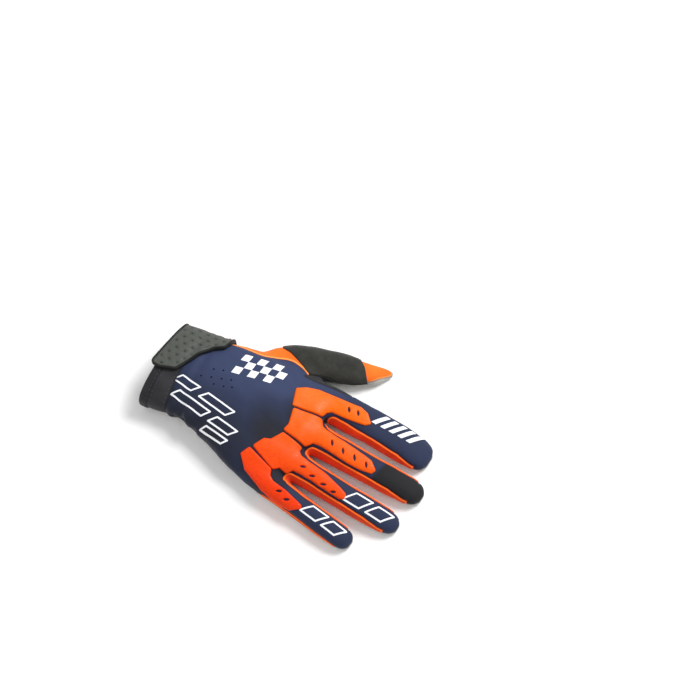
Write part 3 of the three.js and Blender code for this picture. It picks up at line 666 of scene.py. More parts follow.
class Look:
    """A material under construction: its nodes, and the principled shader at their end."""

    def __init__(self, name, roughness, sheen=0.0, coat=0.0, shine=0.25):
        self.material = bpy.data.materials.new(name)
        self.material.use_nodes = True
        self.tree = self.material.node_tree
        self.shader = self.tree.nodes["Principled BSDF"]
        self.shader.inputs["Roughness"].default_value = roughness
        self.shader.inputs["Sheen Weight"].default_value = sheen
        self.shader.inputs["Sheen Roughness"].default_value = 0.4
        self.shader.inputs["Specular IOR Level"].default_value = shine
        self.shader.inputs["Coat Weight"].default_value = coat
        self.place = self.node("ShaderNodeTexCoord").outputs["Object"]

    def node(self, kind, **settings):
        made = self.tree.nodes.new(kind)
        for key, value in settings.items():
            setattr(made, key, value)
        return made

    def feed(self, node, **sources):
        """Links or sets a node's inputs, given by name with _ for a space."""
        for key, source in sources.items():
            socket = node.inputs[int(key[1:])] if key[1:].isdigit() else node.inputs[key.replace("_", " ")]
            if isinstance(source, bpy.types.NodeSocket):
                self.tree.links.new(source, socket)
            else:
                socket.default_value = source
        return node

    def noise(self, size, detail=2.0, rough=0.5):
        """Noise whose patches are about size mm across."""
        made = self.node("ShaderNodeTexNoise")
        self.feed(made, Vector=self.place, Scale=1 / (size * MM), Detail=detail, Roughness=rough)
        return made.outputs["Fac"]

    def attribute(self, name):
        return self.node("ShaderNodeAttribute", attribute_name=name).outputs["Fac"]

    def math(self, operation, a, b=0.0, clamp=False):
        made = self.node("ShaderNodeMath", operation=operation, use_clamp=clamp)
        return self.feed(made, _0=a, _1=b).outputs[0]

    def ramp(self, factor, *stops):
        """A colour for each share of a factor, as pairs of share and colour code."""
        made = self.feed(self.node("ShaderNodeValToRGB"), Fac=factor)
        elements = made.color_ramp.elements
        while len(elements) < len(stops):
            elements.new(0.5)
        for element, (share, code) in zip(elements, stops):
            element.position = share
            element.color = hue(code)
        return made.outputs["Color"]

    def mix(self, factor, a, b, blend="MIX"):
        made = self.node("ShaderNodeMix", data_type="RGBA", blend_type=blend)
        self.feed(made, _0=factor, _6=a, _7=b)
        return made.outputs[2]

    def weave(self, pitch):
        """Crossed ribs, pitch mm apart, as a height."""
        heights = []
        for axis in ("X", "Y"):
            wave = self.node("ShaderNodeTexWave", bands_direction=axis)
            self.feed(wave, Vector=self.place, Scale=math.pi / (10 * pitch * MM), Distortion=0.6, Detail=1.0)
            heights.append(wave.outputs["Fac"])
        return self.math("MAXIMUM", *heights)

    def bump(self, height, depth, strength=1.0):
        """Adds a height, depth mm high, over any bump that the shader already has."""
        made = self.feed(self.node("ShaderNodeBump"), Height=height, Distance=depth * MM, Strength=strength)
        links = self.shader.inputs["Normal"].links
        if links:
            self.feed(made, Normal=links[0].from_socket)
        self.feed(self.shader, Normal=made.outputs["Normal"])

    def colour(self, source):
        self.feed(self.shader, Base_Color=source)

    # Painted shade: near a seam the colour is mixed towards near black. A mesh without the seam attribute
    # reads it as zero, so all of it takes this painted shade.
    def with_painted_seam_shade(self, source, dark):
        """A colour with painted shade where a seam is near, darkest in the seam's furrow."""
        away = self.math("DIVIDE", self.attribute("seam"), SHADE_WIDTH)
        near = self.math("SUBTRACT", 1.0, away, clamp=True)
        return self.mix(self.math("MULTIPLY", near, dark), source, hue("0a0a0c"))

    def with_piping_highlight(self, source, line):
        """A colour with a lighter line beside each seam, partly a lighter piping and partly painted highlight
        where the edge turns to the light, and painted shade on the seam.
        """
        away = self.math("DIVIDE", self.attribute("seam"), HIGHLIGHT_LINE_SPAN)
        # The lighter line beside a seam: partly the lighter piping, partly painted highlight where the edge
        # turns to the light.
        beside = self.ramp(away, (0.08, "000000"), (0.14, "ffffff"), (0.44, "ffffff"), (0.54, "000000"))
        return self.mix(beside, self.with_painted_seam_shade(source, 0.6), line)


print("helpers for materials are ready")

# %% [markdown]
# The fabrics of this glove: a printed stretch knit on the back, dyed from a light navy to nearly black, with
# painted shade added to the dye; grey napped suede on the palm; bright orange stretch cloth, in a copy
# painted in shade and a copy painted lit; a thick black cuff; smooth rubber for the pads.

# %% Materials
def stretch_cloth(name, light, dark, piping_highlight=None, sheen=0.15, pitch=0.55, depth=0.05):
    look = Look(name, 0.8, sheen)
    worn = look.ramp(look.noise(14.0, 3.0), (0.3, dark), (0.7, light))
    # Painted shade on the seams, and on cloths given a line colour a lighter line beside them that is partly
    # painted highlight.
    look.colour(look.with_piping_highlight(worn, hue(piping_highlight)) if piping_highlight else look.with_painted_seam_shade(worn, 0.6))
    look.bump(look.noise(9.0, 2.0), 0.25)
    look.bump(look.weave(pitch), depth)
    return look.material


def printed_knit():
    look = Look("printed knit", 0.72, 0.12)
    # Painted shade and dye together: this number darkens the navy towards black.
    depth = look.math("ADD", look.attribute("shade_and_dye"), look.math("MULTIPLY", look.noise(22.0), 0.12))
    navy = [(0.06, "323d5e"), (0.35, "232c48"), (0.62, "1b2237")]
    shade_and_dye_colour = look.ramp(depth, *navy, (0.85, "191b27"), (1.0, "18181c"))
    look.colour(look.with_painted_seam_shade(shade_and_dye_colour, 0.5))
    look.bump(look.noise(9.0, 2.0), 0.2)
    look.bump(look.weave(0.6), 0.05)
    return look.material


def suede(name, light, dark):
    look = Look(name, 0.95, 0.35)
    clouds = look.ramp(look.noise(11.0, 6.0, 0.65), (0.3, dark), (0.72, light))
    flecks = look.ramp(look.noise(0.7, 3.0, 0.7), (0.35, "8f8d88"), (0.65, "ffffff"))
    napped = look.mix(0.35, clouds, flecks, "MULTIPLY")
    # Painted shade in the palm's folds, darker where a fold is deeper.
    fold_shade_amount = look.math("MULTIPLY", look.attribute("crease"), 0.45, clamp=True)
    fold_shaded = look.mix(fold_shade_amount, napped, hue("2c2b29"))
    look.colour(look.with_painted_seam_shade(fold_shaded, 0.45))
    look.bump(look.noise(5.0, 4.0), 0.25)
    look.bump(look.noise(0.6, 4.0, 0.7), 0.12)
    return look.material


def rubber(name, light, dark, roughness=0.42, grain=0.03):
    look = Look(name, roughness, coat=0.02, shine=0.16)
    # The colour runs from light to dark with the attribute: painted light along the pads, and on the strap
    # tab its dark rim and painted shade in its dimples.
    painted_light_and_tone = look.ramp(look.attribute("painted_light_and_tone"), (0.0, light), (1.0, dark))
    speck = look.ramp(look.noise(2.2, 5.0), (0.3, "e9e9e9"), (0.7, "ffffff"))
    look.colour(look.mix(1.0, painted_light_and_tone, speck, "MULTIPLY"))
    rough = look.feed(look.node("ShaderNodeMapRange"), Value=look.noise(3.0, 4.0))
    look.feed(rough, To_Min=roughness - 0.07, To_Max=roughness + 0.1)
    look.feed(look.shader, Roughness=rough.outputs["Result"])
    look.bump(look.noise(0.35, 2.0), grain)
    return look.material


KNIT = printed_knit()
INK = stretch_cloth("white ink", "f6f7fa", "e6e9ee", sheen=0.0)
HOLE_SHADE = stretch_cloth("painted shade of a hole", "0c0d14", "08080c", sheen=0.0)
# Painted light: the orange stretch cloth is made twice, a deeper copy painted in shade for the strips and the
# palm band, and a lighter copy painted lit for the thumb panel. The third colour of each is its lighter line
# beside the seams.
SHADED_ORANGE = stretch_cloth("orange stretch cloth", "e8460a", "c93405", "ff6d1c")
LIT_ORANGE = stretch_cloth("orange stretch cloth painted lit", "fd7420", "f96314", "ff9a4c")
SUEDE = suede("grey suede", "c9c8c3", "a3a19b")
BLACK = stretch_cloth("black cuff cloth", "323236", "232326", pitch=0.8, depth=0.09)
TAPE = stretch_cloth("black binding tape", "26262a", "19191c", pitch=0.5, depth=0.1)
PATCH = suede("black patch suede", "3c3c37", "282826")
LINING = stretch_cloth("grey lining", "5b5c60", "46474b", sheen=0.2)
# The paler and the deeper orange of the pads are their painted light and painted shade.
PAD = rubber("orange pad rubber", "f46600", "ee3a00")
print("materials:", len(bpy.data.materials))

# %% [markdown]
# The back's colour is light near the strap and the thumb and runs to nearly black over the outer side, before
# and between the pads and on the middle fingertip. The dark over the outer side, before the pads and between
# them is painted shade; towards the fingers and on the middle fingertip it is the dye of the print. Each of
# these is a soft number along the hand, kept on the skin's points, and the knit's colour ramp reads it.

# %% How dark the painted shade and the dye are at each point
def shade_and_dye_at(places):
    """How dark the painted shade and the dye are, from 0 to 1."""
    x, y = places[:, 0], places[:, 1]
    # The outer side, the place before the pads and the roots between them are darkened as painted shade; the
    # rise towards the fingers and the middle fingertip are the print's dye.
    outer_side_shade = 0.62 * ease(14, -34, y) * ease(150, 60, x)
    shade_before_pads = 0.85 * np.exp(-(((x - 101) / 26) ** 2) - (((y + 14) / 24) ** 2))
    shade_between_pads = 0.8 * np.exp(-(((x - 118) / 20) ** 2)) * ease(26, 10, y)
    fingers = 0.34 * ease(112, 150, x)
    along, across = from_digit(DIGITS["middle"], places)
    on_middle = (np.abs(across) < 13) & (along > 60)
    middle_tip = np.where(on_middle, ease(83, 89, along - 0.25 * across), 0)
    return np.clip(np.maximum.reduce([0.1 + outer_side_shade, shade_before_pads, shade_between_pads, fingers, middle_tip]), 0, 1)


shade_and_dye_layer = skin.verts.layers.float.new("shade_and_dye")
shade_and_dye = shade_and_dye_at(places_of(skin))
for v, depth in zip(skin.verts, shade_and_dye):
    v[shade_and_dye_layer] = depth
print("dye from", round(float(shade_and_dye.min()), 2), "to", round(float(shade_and_dye.max()), 2))

# %% [markdown]
# A panel is the part of the skin with its number. Extruding all its faces at once and moving the copy
# inwards gives it a wall and closes its rim. Solidify does the same, but it would ask the panel alone for
# its normals, which are wrong in thin corners, while the skin as a whole knows them. The inner face is
# lining cloth.

# %% Panels as pieces
WALL = 0.9
SHARP_ANGLE = math.radians(50)


def piece(name, bm, looks, slot, replaces=None):
    """Turns a finished bmesh in millimetres into an object in metres that rides on the glove."""
    for v in bm.verts:
        v.co = (v.co + WRIST) * MM
    mesh = bpy.data.meshes.new(name)
    bm.to_mesh(mesh)
    bm.free()
    mesh.set_sharp_from_angle(angle=SHARP_ANGLE)
    for look in looks:
        mesh.materials.append(look)
    made = placed(name, mesh)
    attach(made, "root")
    if replaces:
        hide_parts(replaces)
    return made


def walled(part, thickness, lining=0):
    """Gives an open sheet a wall towards the inside, whose faces take the material with that number."""
    outward = part.verts.layers.float_vector["outward"]
    for made in bmesh.ops.extrude_face_region(part, geom=part.faces[:], use_keep_orig=True)["geom"]:
        if isinstance(made, bmesh.types.BMVert):
            made.co -= made[outward] * thickness
        elif isinstance(made, bmesh.types.BMFace):
            made.material_index = lining
    bmesh.ops.recalc_face_normals(part, faces=part.faces)
    return part


def part_of_skin(*numbers):
    part = skin.copy()
    layer = part.faces.layers.int["panel"]
    bmesh.ops.delete(part, geom=[f for f in part.faces if f[layer] not in numbers], context="FACES")
    return part


CLOTHS = {
    "thumb_fork": (BLACK, "cuff_cloth"),
    "thumb_panel": (LIT_ORANGE, "side_cloth"),
    "cuff": (BLACK, "cuff_cloth"),
    **{name: (SHADED_ORANGE, "side_cloth") for name in STRIPS},
}
for name, (cloth, slot) in CLOTHS.items():
    part = part_of_skin(PANEL_NAMES.index(name))
    piece(f"{name}_cloth", walled(part, WALL, 1), [cloth, LINING], slot, replaces=name)
print("panels:", len(CLOTHS))

# %% [markdown]
# The palm is one sheet of suede, with a band of orange stretch cloth let in below the thumb so that the
# hand can spread. The band is cut out of the same skin as the suede, which only needs another material
# there.

# %% The palm with its orange band
PALM_BAND = [(8, 21), (34, 27), (58, 36), (76, 47), (70, 60), (8, 60)]
palm = part_of_skin(PANEL_NAMES.index("palm_panel"))
band_field = outline_field(PALM_BAND)
imprint(palm, band_field, palm.verts.layers.float_vector["home"])
for f, away in zip(palm.faces, band_field(centres_of(palm))):
    f.material_index = 1 if away < 0 else 0
piece("palm_cloth", walled(palm, WALL, 2), [SUEDE, SHADED_ORANGE, LINING], "palm_suede", replaces="palm_panel")
print("palm done")

# %% [markdown]
# White ink is printed on the back: rows of slanted bars, some filled and some only outlined. Air holes are
# punched near the strap. Both could be drawn by a texture, but a texture blurs on a thin line. Here the lines
# are cut into the cloth, so their edges stay sharp, and the faces between them take the ink as material. Each
# air hole is a shallow dent whose faces are painted nearly black, as painted shade for the dark inside of a
# hole.

# %% The printed back, with its air holes
INK_LINE = 1.25
HOLE_RADIUS = 0.75
HOLE_DEPTH = 0.6
HOLE_SLOPE = 0.4
BAR_SLANT = 0.7


def bar(x, y, length, width, slant=BAR_SLANT):
    """The corners of a slanted bar, from its middle."""
    lean = slant * width / 2
    return [
        (x - length / 2 - lean, y - width / 2), (x + length / 2 - lean, y - width / 2),
        (x + length / 2 + lean, y + width / 2), (x - length / 2 + lean, y + width / 2),
    ]


def turned(points, centre, degrees):
    c, s = math.cos(math.radians(degrees)), math.sin(math.radians(degrees))
    return [(centre[0] + c * x - s * y, centre[1] + s * x + c * y) for x, y in points]


def along_digit(name, points):
    return [on_digit(DIGITS[name], distance, across) for distance, across in points]


# on the outer side of the hand: middle along, middle across, length, width of each outlined bar
OUTER_BARS = [
    (-26, 9.6, 17, 6.2), (3, 9.6, 25, 6.2), (-14, -1, 29, 6.2), (17, -1, 19, 6.2), (15, -9.8, 20, 4.4),
]
OUTER_CENTRE, OUTER_TURN = (52.0, -23.0), -9.0
FINGER_BARS = {
    "ring": [(86.0, 0.0, 14.0, 9.5), (105.0, 0.0, 13.0, 9.0)],
    "little": [(69.0, 0.6, 14.0, 8.5), (87.0, 0.4, 12.0, 8.0)],
}
outlined = [turned(bar(*row), OUTER_CENTRE, OUTER_TURN) for row in OUTER_BARS]
outlined += [along_digit(name, bar(*row)) for name, rows in FINGER_BARS.items() for row in rows]
# a slanted chequered band near the thumb, and a row of filled bars on the index finger
INDEX_BARS = [(69.0 + 7.4 * i, 5.6 + 0.3 * i, 3.9, 10.5) for i in range(5)]
CELL = 6.2
CHEQUER_SLANT = 0.3
CHEQUER_CENTRE, CHEQUER_TURN = (72.0, 27.5), 12.0


def chequer(row, place):
    """The corners of one cell of the band, counted from its middle row."""
    along = (place - 2.5 + CHEQUER_SLANT * (row - 1)) * CELL
    return turned(bar(along, (row - 1) * CELL, CELL, CELL, CHEQUER_SLANT), CHEQUER_CENTRE, CHEQUER_TURN)


filled = [chequer(row, place) for row in range(3) for place in range(6) if (row + place) % 2 == 0]
filled += [along_digit("index", bar(*row)) for row in INDEX_BARS]
HOLES = [
    (34.5, 0.5), (40.5, 9.5), (42.0, 3.0), (47.3, 12.2), (49.5, 5.5), (56.5, 8.0), (46.5, -1.0), (54.0, 0.8),
    (60.0, 3.0),
]
PRINT_REACH, HOLE_REACH = 1.5, 0.8
BACK_LOOKS = [KNIT, INK, LINING, HOLE_SHADE]


def nearest_of(polygons):
    """The field of the nearest of several outlines."""
    fields = [outline_field(points) for points in polygons]
    return lambda places: np.minimum.reduce([field(places) for field in fields])


def holes_field(places):
    away = [np.hypot(places[:, 0] - x, places[:, 1] - y) for x, y in HOLES]
    return np.minimum.reduce(away) - HOLE_RADIUS


back = part_of_skin(PANEL_NAMES.index("back_panel"))
outlined_field, filled_field = nearest_of(outlined), nearest_of(filled)


def to_print(places):
    """How far places are from the edges of the ink or from a hole."""
    edges = [np.abs(outlined_field(places)), np.abs(filled_field(places)), holes_field(places)]
    return np.minimum.reduce(edges)


for nearness, reach in ((to_print, PRINT_REACH), (holes_field, HOLE_REACH)):
    near = nearness(centres_of(back))
    edges = {e for f, away in zip(back.faces, near) if away < reach for e in f.edges}
    bmesh.ops.subdivide_edges(back, edges=list(edges), cuts=1, use_grid_fill=True)
bmesh.ops.triangulate(back, faces=[f for f in back.faces if len(f.verts) > 4])
back_home = back.verts.layers.float_vector["home"]
for field in (
    lambda places: outlined_field(places) - INK_LINE / 2,
    lambda places: outlined_field(places) + INK_LINE / 2,
    filled_field,
    holes_field,
):
    imprint(back, field, back_home)
centres = centres_of(back)
inked = (np.abs(outlined_field(centres)) < INK_LINE / 2) | (filled_field(centres) < 0)
pierced = holes_field(centres) < 0
# The faces of each air hole take the painted shade of a hole.
for f, has_ink, has_hole in zip(back.faces, inked, pierced):
    f.material_index = BACK_LOOKS.index(HOLE_SHADE if has_hole else INK if has_ink else KNIT)
shade_smooth(back)
outward = back.verts.layers.float_vector["outward"]
for v, away in zip(back.verts, holes_field(places_of(back))):
    v.co -= v[outward] * HOLE_DEPTH * min(max(-away / HOLE_SLOPE, 0), 1)
print("inked faces:", int(inked.sum()), "of", len(centres))
walled(back, WALL, BACK_LOOKS.index(LINING))
piece("back_cloth", back, BACK_LOOKS, "back_cloth", replaces="back_panel")

# %% [markdown]
# The knuckle pads, the thumb patch and the strap lie on the cloth and follow it. Each starts as the part of
# the skin within its outline. Lines are cut into it at several distances from its edge, so that the points
# there can be lifted to a rounded edge instead of a step, and a wall below makes it solid.

# %% Lift a layer off the skin
LAYER_REACH = 4.0
LAYER_GAP = 0.3
EDGE_LINES = (0.0, 0.3, 0.65, 1.1)
HOLE_EDGE_SHARE = 0.6
SLIVER_ON_LAYER = 0.06


def skin_near(field, above):
    """The part of the skin that lies inside or just outside an outline and above a height."""
    part = skin.copy()
    centres = centres_of(part)
    without_faces(part, (field(centres) > LAYER_REACH) | (centres[:, 2] < above))
    plain = part.verts.layers.float_vector["plain"]
    for v in part.verts:
        v.co = v[plain]
    return part


def lifted(part, field, height, edge_lines=EDGE_LINES, holes=None):
    """Keeps what lies inside the outline and outside the holes, and lifts it by height(distance inside)."""
    layer = part.verts.layers.float_vector["home"]
    for line in edge_lines:
        imprint(part, lambda places: field(places) + line, layer)
        if holes:
            imprint(part, lambda places: holes(places) - HOLE_EDGE_SHARE * line, layer)
    centres = centres_of(part)
    outside = field(centres) > 0
    if holes:
        outside |= holes(centres) < 0
    without_faces(part, outside)
    bmesh.ops.remove_doubles(part, verts=part.verts, dist=SLIVER_ON_LAYER)
    places = places_of(part)
    inside = -field(places)
    if holes:
        inside = np.minimum(inside, holes(places) / HOLE_EDGE_SHARE)
    outward = part.verts.layers.float_vector["outward"]
    for v, rise in zip(part.verts, height(places, np.maximum(inside, 0))):
        v.co += v[outward] * rise
    return part


def rounded_edge(inside, radius):
    """How high an edge of that radius has risen at a distance inside it, from 0 to 1."""
    return np.sqrt(np.clip(1 - (1 - np.clip(inside / radius, 0, 1)) ** 2, 0, 1))


print("tools for layers are ready")

# %% [markdown]
# Each pad follows its own finger, so its outline is given in shares of that finger's length and width. The
# slits are lens shapes that let the rubber bend. The light falls off along the pads on the real glove, from a
# paler orange by the index finger to a deeper one by the little finger, and that fall of light is painted
# into the rubber's colour through a number kept on each point of the pad.

# %% Knuckle pads
PAD_OUTLINES = {
    "index": [
        (0.06, -0.76), (0.255, -0.6), (0.27, -0.4), (0.422, -0.284), (0.528, -0.19), (0.56, -0.06),
        (0.5, 0.17), (0.445, 0.24), (0.31, 0.15), (0.147, 0.07), (0.072, -0.06), (0.016, -0.238),
    ],
    "middle": [
        (0.088, -0.25), (0.078, -0.52), (0.232, -0.58), (0.252, -0.47), (0.386, -0.43), (0.6, -0.36),
        (0.676, -0.27), (0.685, -0.06), (0.63, 0.19), (0.574, 0.227), (0.422, 0.293), (0.306, 0.34),
        (0.258, 0.42), (0.235, 0.58), (0.058, 0.35),
    ],
    "ring": [
        (-0.016, -0.44), (0.168, -0.74), (0.195, -0.54), (0.4, -0.52), (0.6, -0.44), (0.638, -0.22),
        (0.632, -0.024), (0.588, 0.06), (0.432, 0.27), (0.265, 0.3), (0.241, 0.4), (0.238, 0.58),
        (0.093, 0.64), (0.054, 0.155), (0.017, 0.03),
    ],
    "little": [
        (-0.022, 0.112), (0.072, -0.271), (0.253, -0.476), (0.416, -0.5), (0.514, -0.424), (0.576, -0.17),
        (0.566, -0.028), (0.4, 0.075), (0.29, 0.06), (0.25, 0.16), (0.225, 0.4), (0.004, 0.54),
    ],
}
PAD_SLITS = {
    "index": (-55, [(0.384, -0.03), (0.446, 0.016)]),
    "middle": (-55, [(0.371, 0.0), (0.453, -0.05), (0.534, -0.055), (0.616, -0.065)]),
    "ring": (25, [(0.315, -0.03), (0.394, -0.13), (0.479, -0.17), (0.555, -0.21)]),
    "little": (30, [(0.37, -0.12), (0.45, -0.2)]),
}
SLIT_LENGTH = 4.9
SLIT_WIDTH = 1.7
PAD_CORNER = 1.5
PAD_RISE = 1.2
PAD_EDGE = 1.1
PAD_WALL = 0.8
PAD_SEAM_GAP = 1.1
# shares of the finger's height below which its pad stops, near the knuckle and further on
LOWEST = (STRIP_TOP, STRIP_TOP)
PAD_LOWEST = {"little": (0.5, 0.62)}
NEAR_AND_FAR = (30, 56)
ROOT_FREE, ROOT_FROM, ROOT_TO = 12.0, 34, 22
PAINTED_LIGHT_START, PAINTED_LIGHT_RUN = 26, 75
NOWHERE = 99.0


def over_digit(digit, rows):
    return [on_digit(digit, along * digit.length, across * digit.width) for along, across in rows]


def slit_field(digit, angle, rows):
    """How far places lie outside the nearest of a pad's slits, each a lens with pointed ends."""
    turn = math.radians(angle + digit.heading)
    centres = over_digit(digit, rows)

    def field(places):
        nearest = np.full(len(places), NOWHERE)
        for cx, cy in centres:
            dx, dy = places[:, 0] - cx, places[:, 1] - cy
            u = np.abs(math.cos(turn) * dx + math.sin(turn) * dy) / (SLIT_LENGTH / 2)
            v = np.abs(math.cos(turn) * dy - math.sin(turn) * dx)
            lens = v - SLIT_WIDTH / 2 * (1 - u * u)
            nearest = np.minimum(nearest, np.where(u < 1.6, lens, NOWHERE))
        return nearest

    return field


def pad_field(digit, rows, lowest_shares):
    """How far places lie outside a pad, which ends at its outline and above the seam of its finger's side."""
    edge = round_field(over_digit(digit, rows), PAD_CORNER)

    def field(places):
        distance, across = from_digit(digit, places)
        lowest = np.interp(distance, NEAR_AND_FAR, lowest_shares)
        low = lowest * digit_height(digit, distance) + PAD_SEAM_GAP - places[:, 2]
        return round_and(edge(places), low - ROOT_FREE * ease(ROOT_FROM, ROOT_TO, distance), PAD_CORNER)

    return field


for name, rows in PAD_OUTLINES.items():
    digit = DIGITS[name]
    edge = pad_field(digit, rows, PAD_LOWEST.get(name, LOWEST))
    slits = slit_field(digit, *PAD_SLITS[name])
    pad = skin_near(edge, KNUCKLE_SEAM)
    lifted(pad, edge, lambda _, inside: LAYER_GAP + PAD_RISE * rounded_edge(inside, PAD_EDGE), holes=slits)
    # Painted light: the pad is paler towards the index finger and deeper towards the little finger.
    painted_light_and_tone = pad.verts.layers.float.new("painted_light_and_tone")
    for v in pad.verts:
        v[painted_light_and_tone] = min(max((PAINTED_LIGHT_START - v.co.y) / PAINTED_LIGHT_RUN, 0), 1)
    piece(f"{name}_pad", walled(pad, PAD_WALL), [PAD], "pad_rubber", replaces=f"pad_{name}")
print("pads:", len(PAD_OUTLINES))

# %% [markdown]
# The patch on the thumb is a second layer of black suede where the hand grips. It is sewn on flat, so its
# edge rises quickly and then the cloth is level.

# %% Thumb patch
PATCH_OUTLINE = [
    (0.2, 0.44), (0.26, 0.27), (0.35, -0.11), (0.44, -0.58), (0.83, -0.62), (0.818, -0.4), (0.796, 0.0),
    (0.755, 0.35), (0.74, 0.9), (0.17, 0.9),
]
PATCH_EDGE_HEIGHT = 8.0
PATCH_SPARE = 3.0
PATCH_OVER_FORK = 0.7
PATCH_RISE = 0.7
PATCH_EDGE = 0.6
PATCH_WALL = 0.7
patch_edge = round_field(over_digit(DIGITS["thumb"], PATCH_OUTLINE), PAD_CORNER)


def patch_field(places):
    clear_of_fork = -PATCH_OVER_FORK - PANELS["thumb_fork"](places)
    return np.maximum.reduce([patch_edge(places), PATCH_EDGE_HEIGHT - places[:, 2], clear_of_fork])


patch = skin_near(patch_field, PATCH_EDGE_HEIGHT - PATCH_SPARE)
lifted(
    patch, patch_field, lambda _, inside: LAYER_GAP + PATCH_RISE * rounded_edge(inside, PATCH_EDGE),
    (0.0, 0.25, PATCH_EDGE),
)
piece("thumb_patch_cloth", walled(patch, PATCH_WALL), [PATCH], "patch_cloth", replaces="thumb_patch")
print("thumb patch done")

# %% [markdown]
# The wrist strap starts at the seam on the thumb side, crosses the back of the wrist and ends in a moulded
# tab that is gripped to pull it. It reaches past the edge of the cuff, where there is no skin to follow, so
# it follows a sheet rolled from the same sections instead. The tab has a thick raised rim, a second ridge
# beside its far edge, and rows of dimples for grip.

# %% Strap base and moulded tab
STRAP_WIDTH = 41.0
STRAP_CORNER = 4.0
STRAP_EDGE_HEIGHT = 12.0
TAB_MARGIN = 0.5
STRAP_OUTLINE = [
    (-0.14, -0.14), (0.1, -0.142), (0.4, -0.08), (0.63, 0.206), (0.8, 0.345), (0.97, 0.41), (1.0, 0.5),
    (1.0, 0.75), (-0.01, 0.75), (-0.01, 0.414), (-0.05, 0.197),
]
strap_points = [(along * STRAP_WIDTH, across * WRIST_WIDTH) for along, across in STRAP_OUTLINE]
DIMPLE_STEP = 7.0
RIM = 1.9
RIDGE = 4.0
TAB_LINES = (0.0, 0.3, 0.7, RIM - 0.6, RIM, RIM + 0.5, RIDGE - 0.6, RIDGE, RIDGE + 0.6)
BASE_MARGIN, BASE_RISE, BASE_WALL = 0.8, 0.9, 0.9
BASE_OFFSET, TAB_OFFSET, TAB_WALL = 1.0, 2.0, 1.2
SHEET_START, SHEET_LENGTH = -0.09, 0.45
SHEET_FIRST_TURN, SHEET_TURN = 0.02, 0.7
SHEET_CELLS = (100, 190)


def wrist_sheet(offset):
    """A fine open sheet over the back of the wrist, offset mm outside the skin."""
    sheet = bmesh.new()
    sheet.verts.layers.float_vector.new("home")
    columns, rows = SHEET_CELLS
    grid = bmesh.ops.create_grid(sheet, x_segments=columns, y_segments=rows, size=0.5)["verts"]
    flat = np.array([v.co[:2] for v in grid]) + 0.5
    share = flat[:, 0] * SHEET_LENGTH + SHEET_START
    for v, co in zip(grid, hand_place(share, flat[:, 1] * SHEET_TURN + SHEET_FIRST_TURN, offset)):
        v.co = co
    bmesh.ops.recalc_face_normals(sheet, faces=sheet.faces)
    if sum(f.normal.z for f in sheet.faces) < 0:
        bmesh.ops.reverse_faces(sheet, faces=sheet.faces)
    sheet.normal_update()
    outward = sheet.verts.layers.float_vector.new("outward")
    for v in sheet.verts:
        v[outward] = v.normal
    shade_smooth(sheet)
    return sheet


def strap_field(margin):
    """How far places lie outside the strap, whose edge is a margin further in."""
    edge = round_field(moved_outline(strap_points, -margin), STRAP_CORNER)
    return lambda places: np.maximum(edge(places), STRAP_EDGE_HEIGHT + margin - places[:, 2])


def dimple_depth(places):
    """Rows of small hollows, every second row shifted by half a step."""
    x, y = places[:, 0] / DIMPLE_STEP, places[:, 1] / (0.8 * DIMPLE_STEP)
    row = np.round(y)
    dx = (x + 0.5 * (row % 2)) - np.round(x + 0.5 * (row % 2))
    dy = y - row
    return np.exp(-((dx / 0.2) ** 2) - ((dy / 0.17) ** 2))


def tab_height(places, inside):
    """How high the tab stands: its raised rim, the ridge beside its far edge and its dimples."""
    rim = rounded_edge(inside, 0.9) * (0.7 + 0.6 * np.clip((RIM - inside) / 0.7, 0, 1))
    ridge = 0.6 * np.exp(-(((inside - RIDGE) / 0.6) ** 2)) * ease(14, 24, places[:, 0])
    middle = ease(RIM + 0.6, RIM + 2.0, inside)
    return 0.4 + rim + ridge - 0.8 * middle * dimple_depth(places)


base_edge = strap_field(BASE_MARGIN)
base = lifted(wrist_sheet(BASE_OFFSET), base_edge, lambda _, inside: BASE_RISE * rounded_edge(inside, 0.6))
piece("strap_base_cloth", walled(base, BASE_WALL), [BLACK], "strap_cloth", replaces="strap_base")
tab_edge = strap_field(TAB_MARGIN)
tab = lifted(wrist_sheet(TAB_OFFSET), tab_edge, tab_height, TAB_LINES)
# The tab is darker on its rim, which is its own dark colour, and in its dimples, which is painted shade.
painted_light_and_tone = tab.verts.layers.float.new("painted_light_and_tone")
inside = -tab_edge(places_of(tab))
dimple_shade = 0.8 * dimple_depth(places_of(tab)) * ease(RIM, RIM + 2, inside)
for v, depth in zip(tab.verts, np.maximum(ease(RIM + 0.3, RIM - 0.2, inside), dimple_shade)):
    v[painted_light_and_tone] = depth
STRAP_RUBBER = rubber("moulded strap rubber", "4f524d", "1e1f1e", 0.55, 0.06)
piece("strap_tab_rubber", walled(tab, TAB_WALL), [STRAP_RUBBER], "strap_rubber", replaces="strap_tab")
print("strap done")

# %% [markdown]
# The edge of the wrist is bound with a tape folded over it, like the edge of a blanket. Its profile is a
# narrow U. Each point of the profile gives one loop round the wrist, and bridging one loop to the next
# makes the tape, which closes on itself inside.

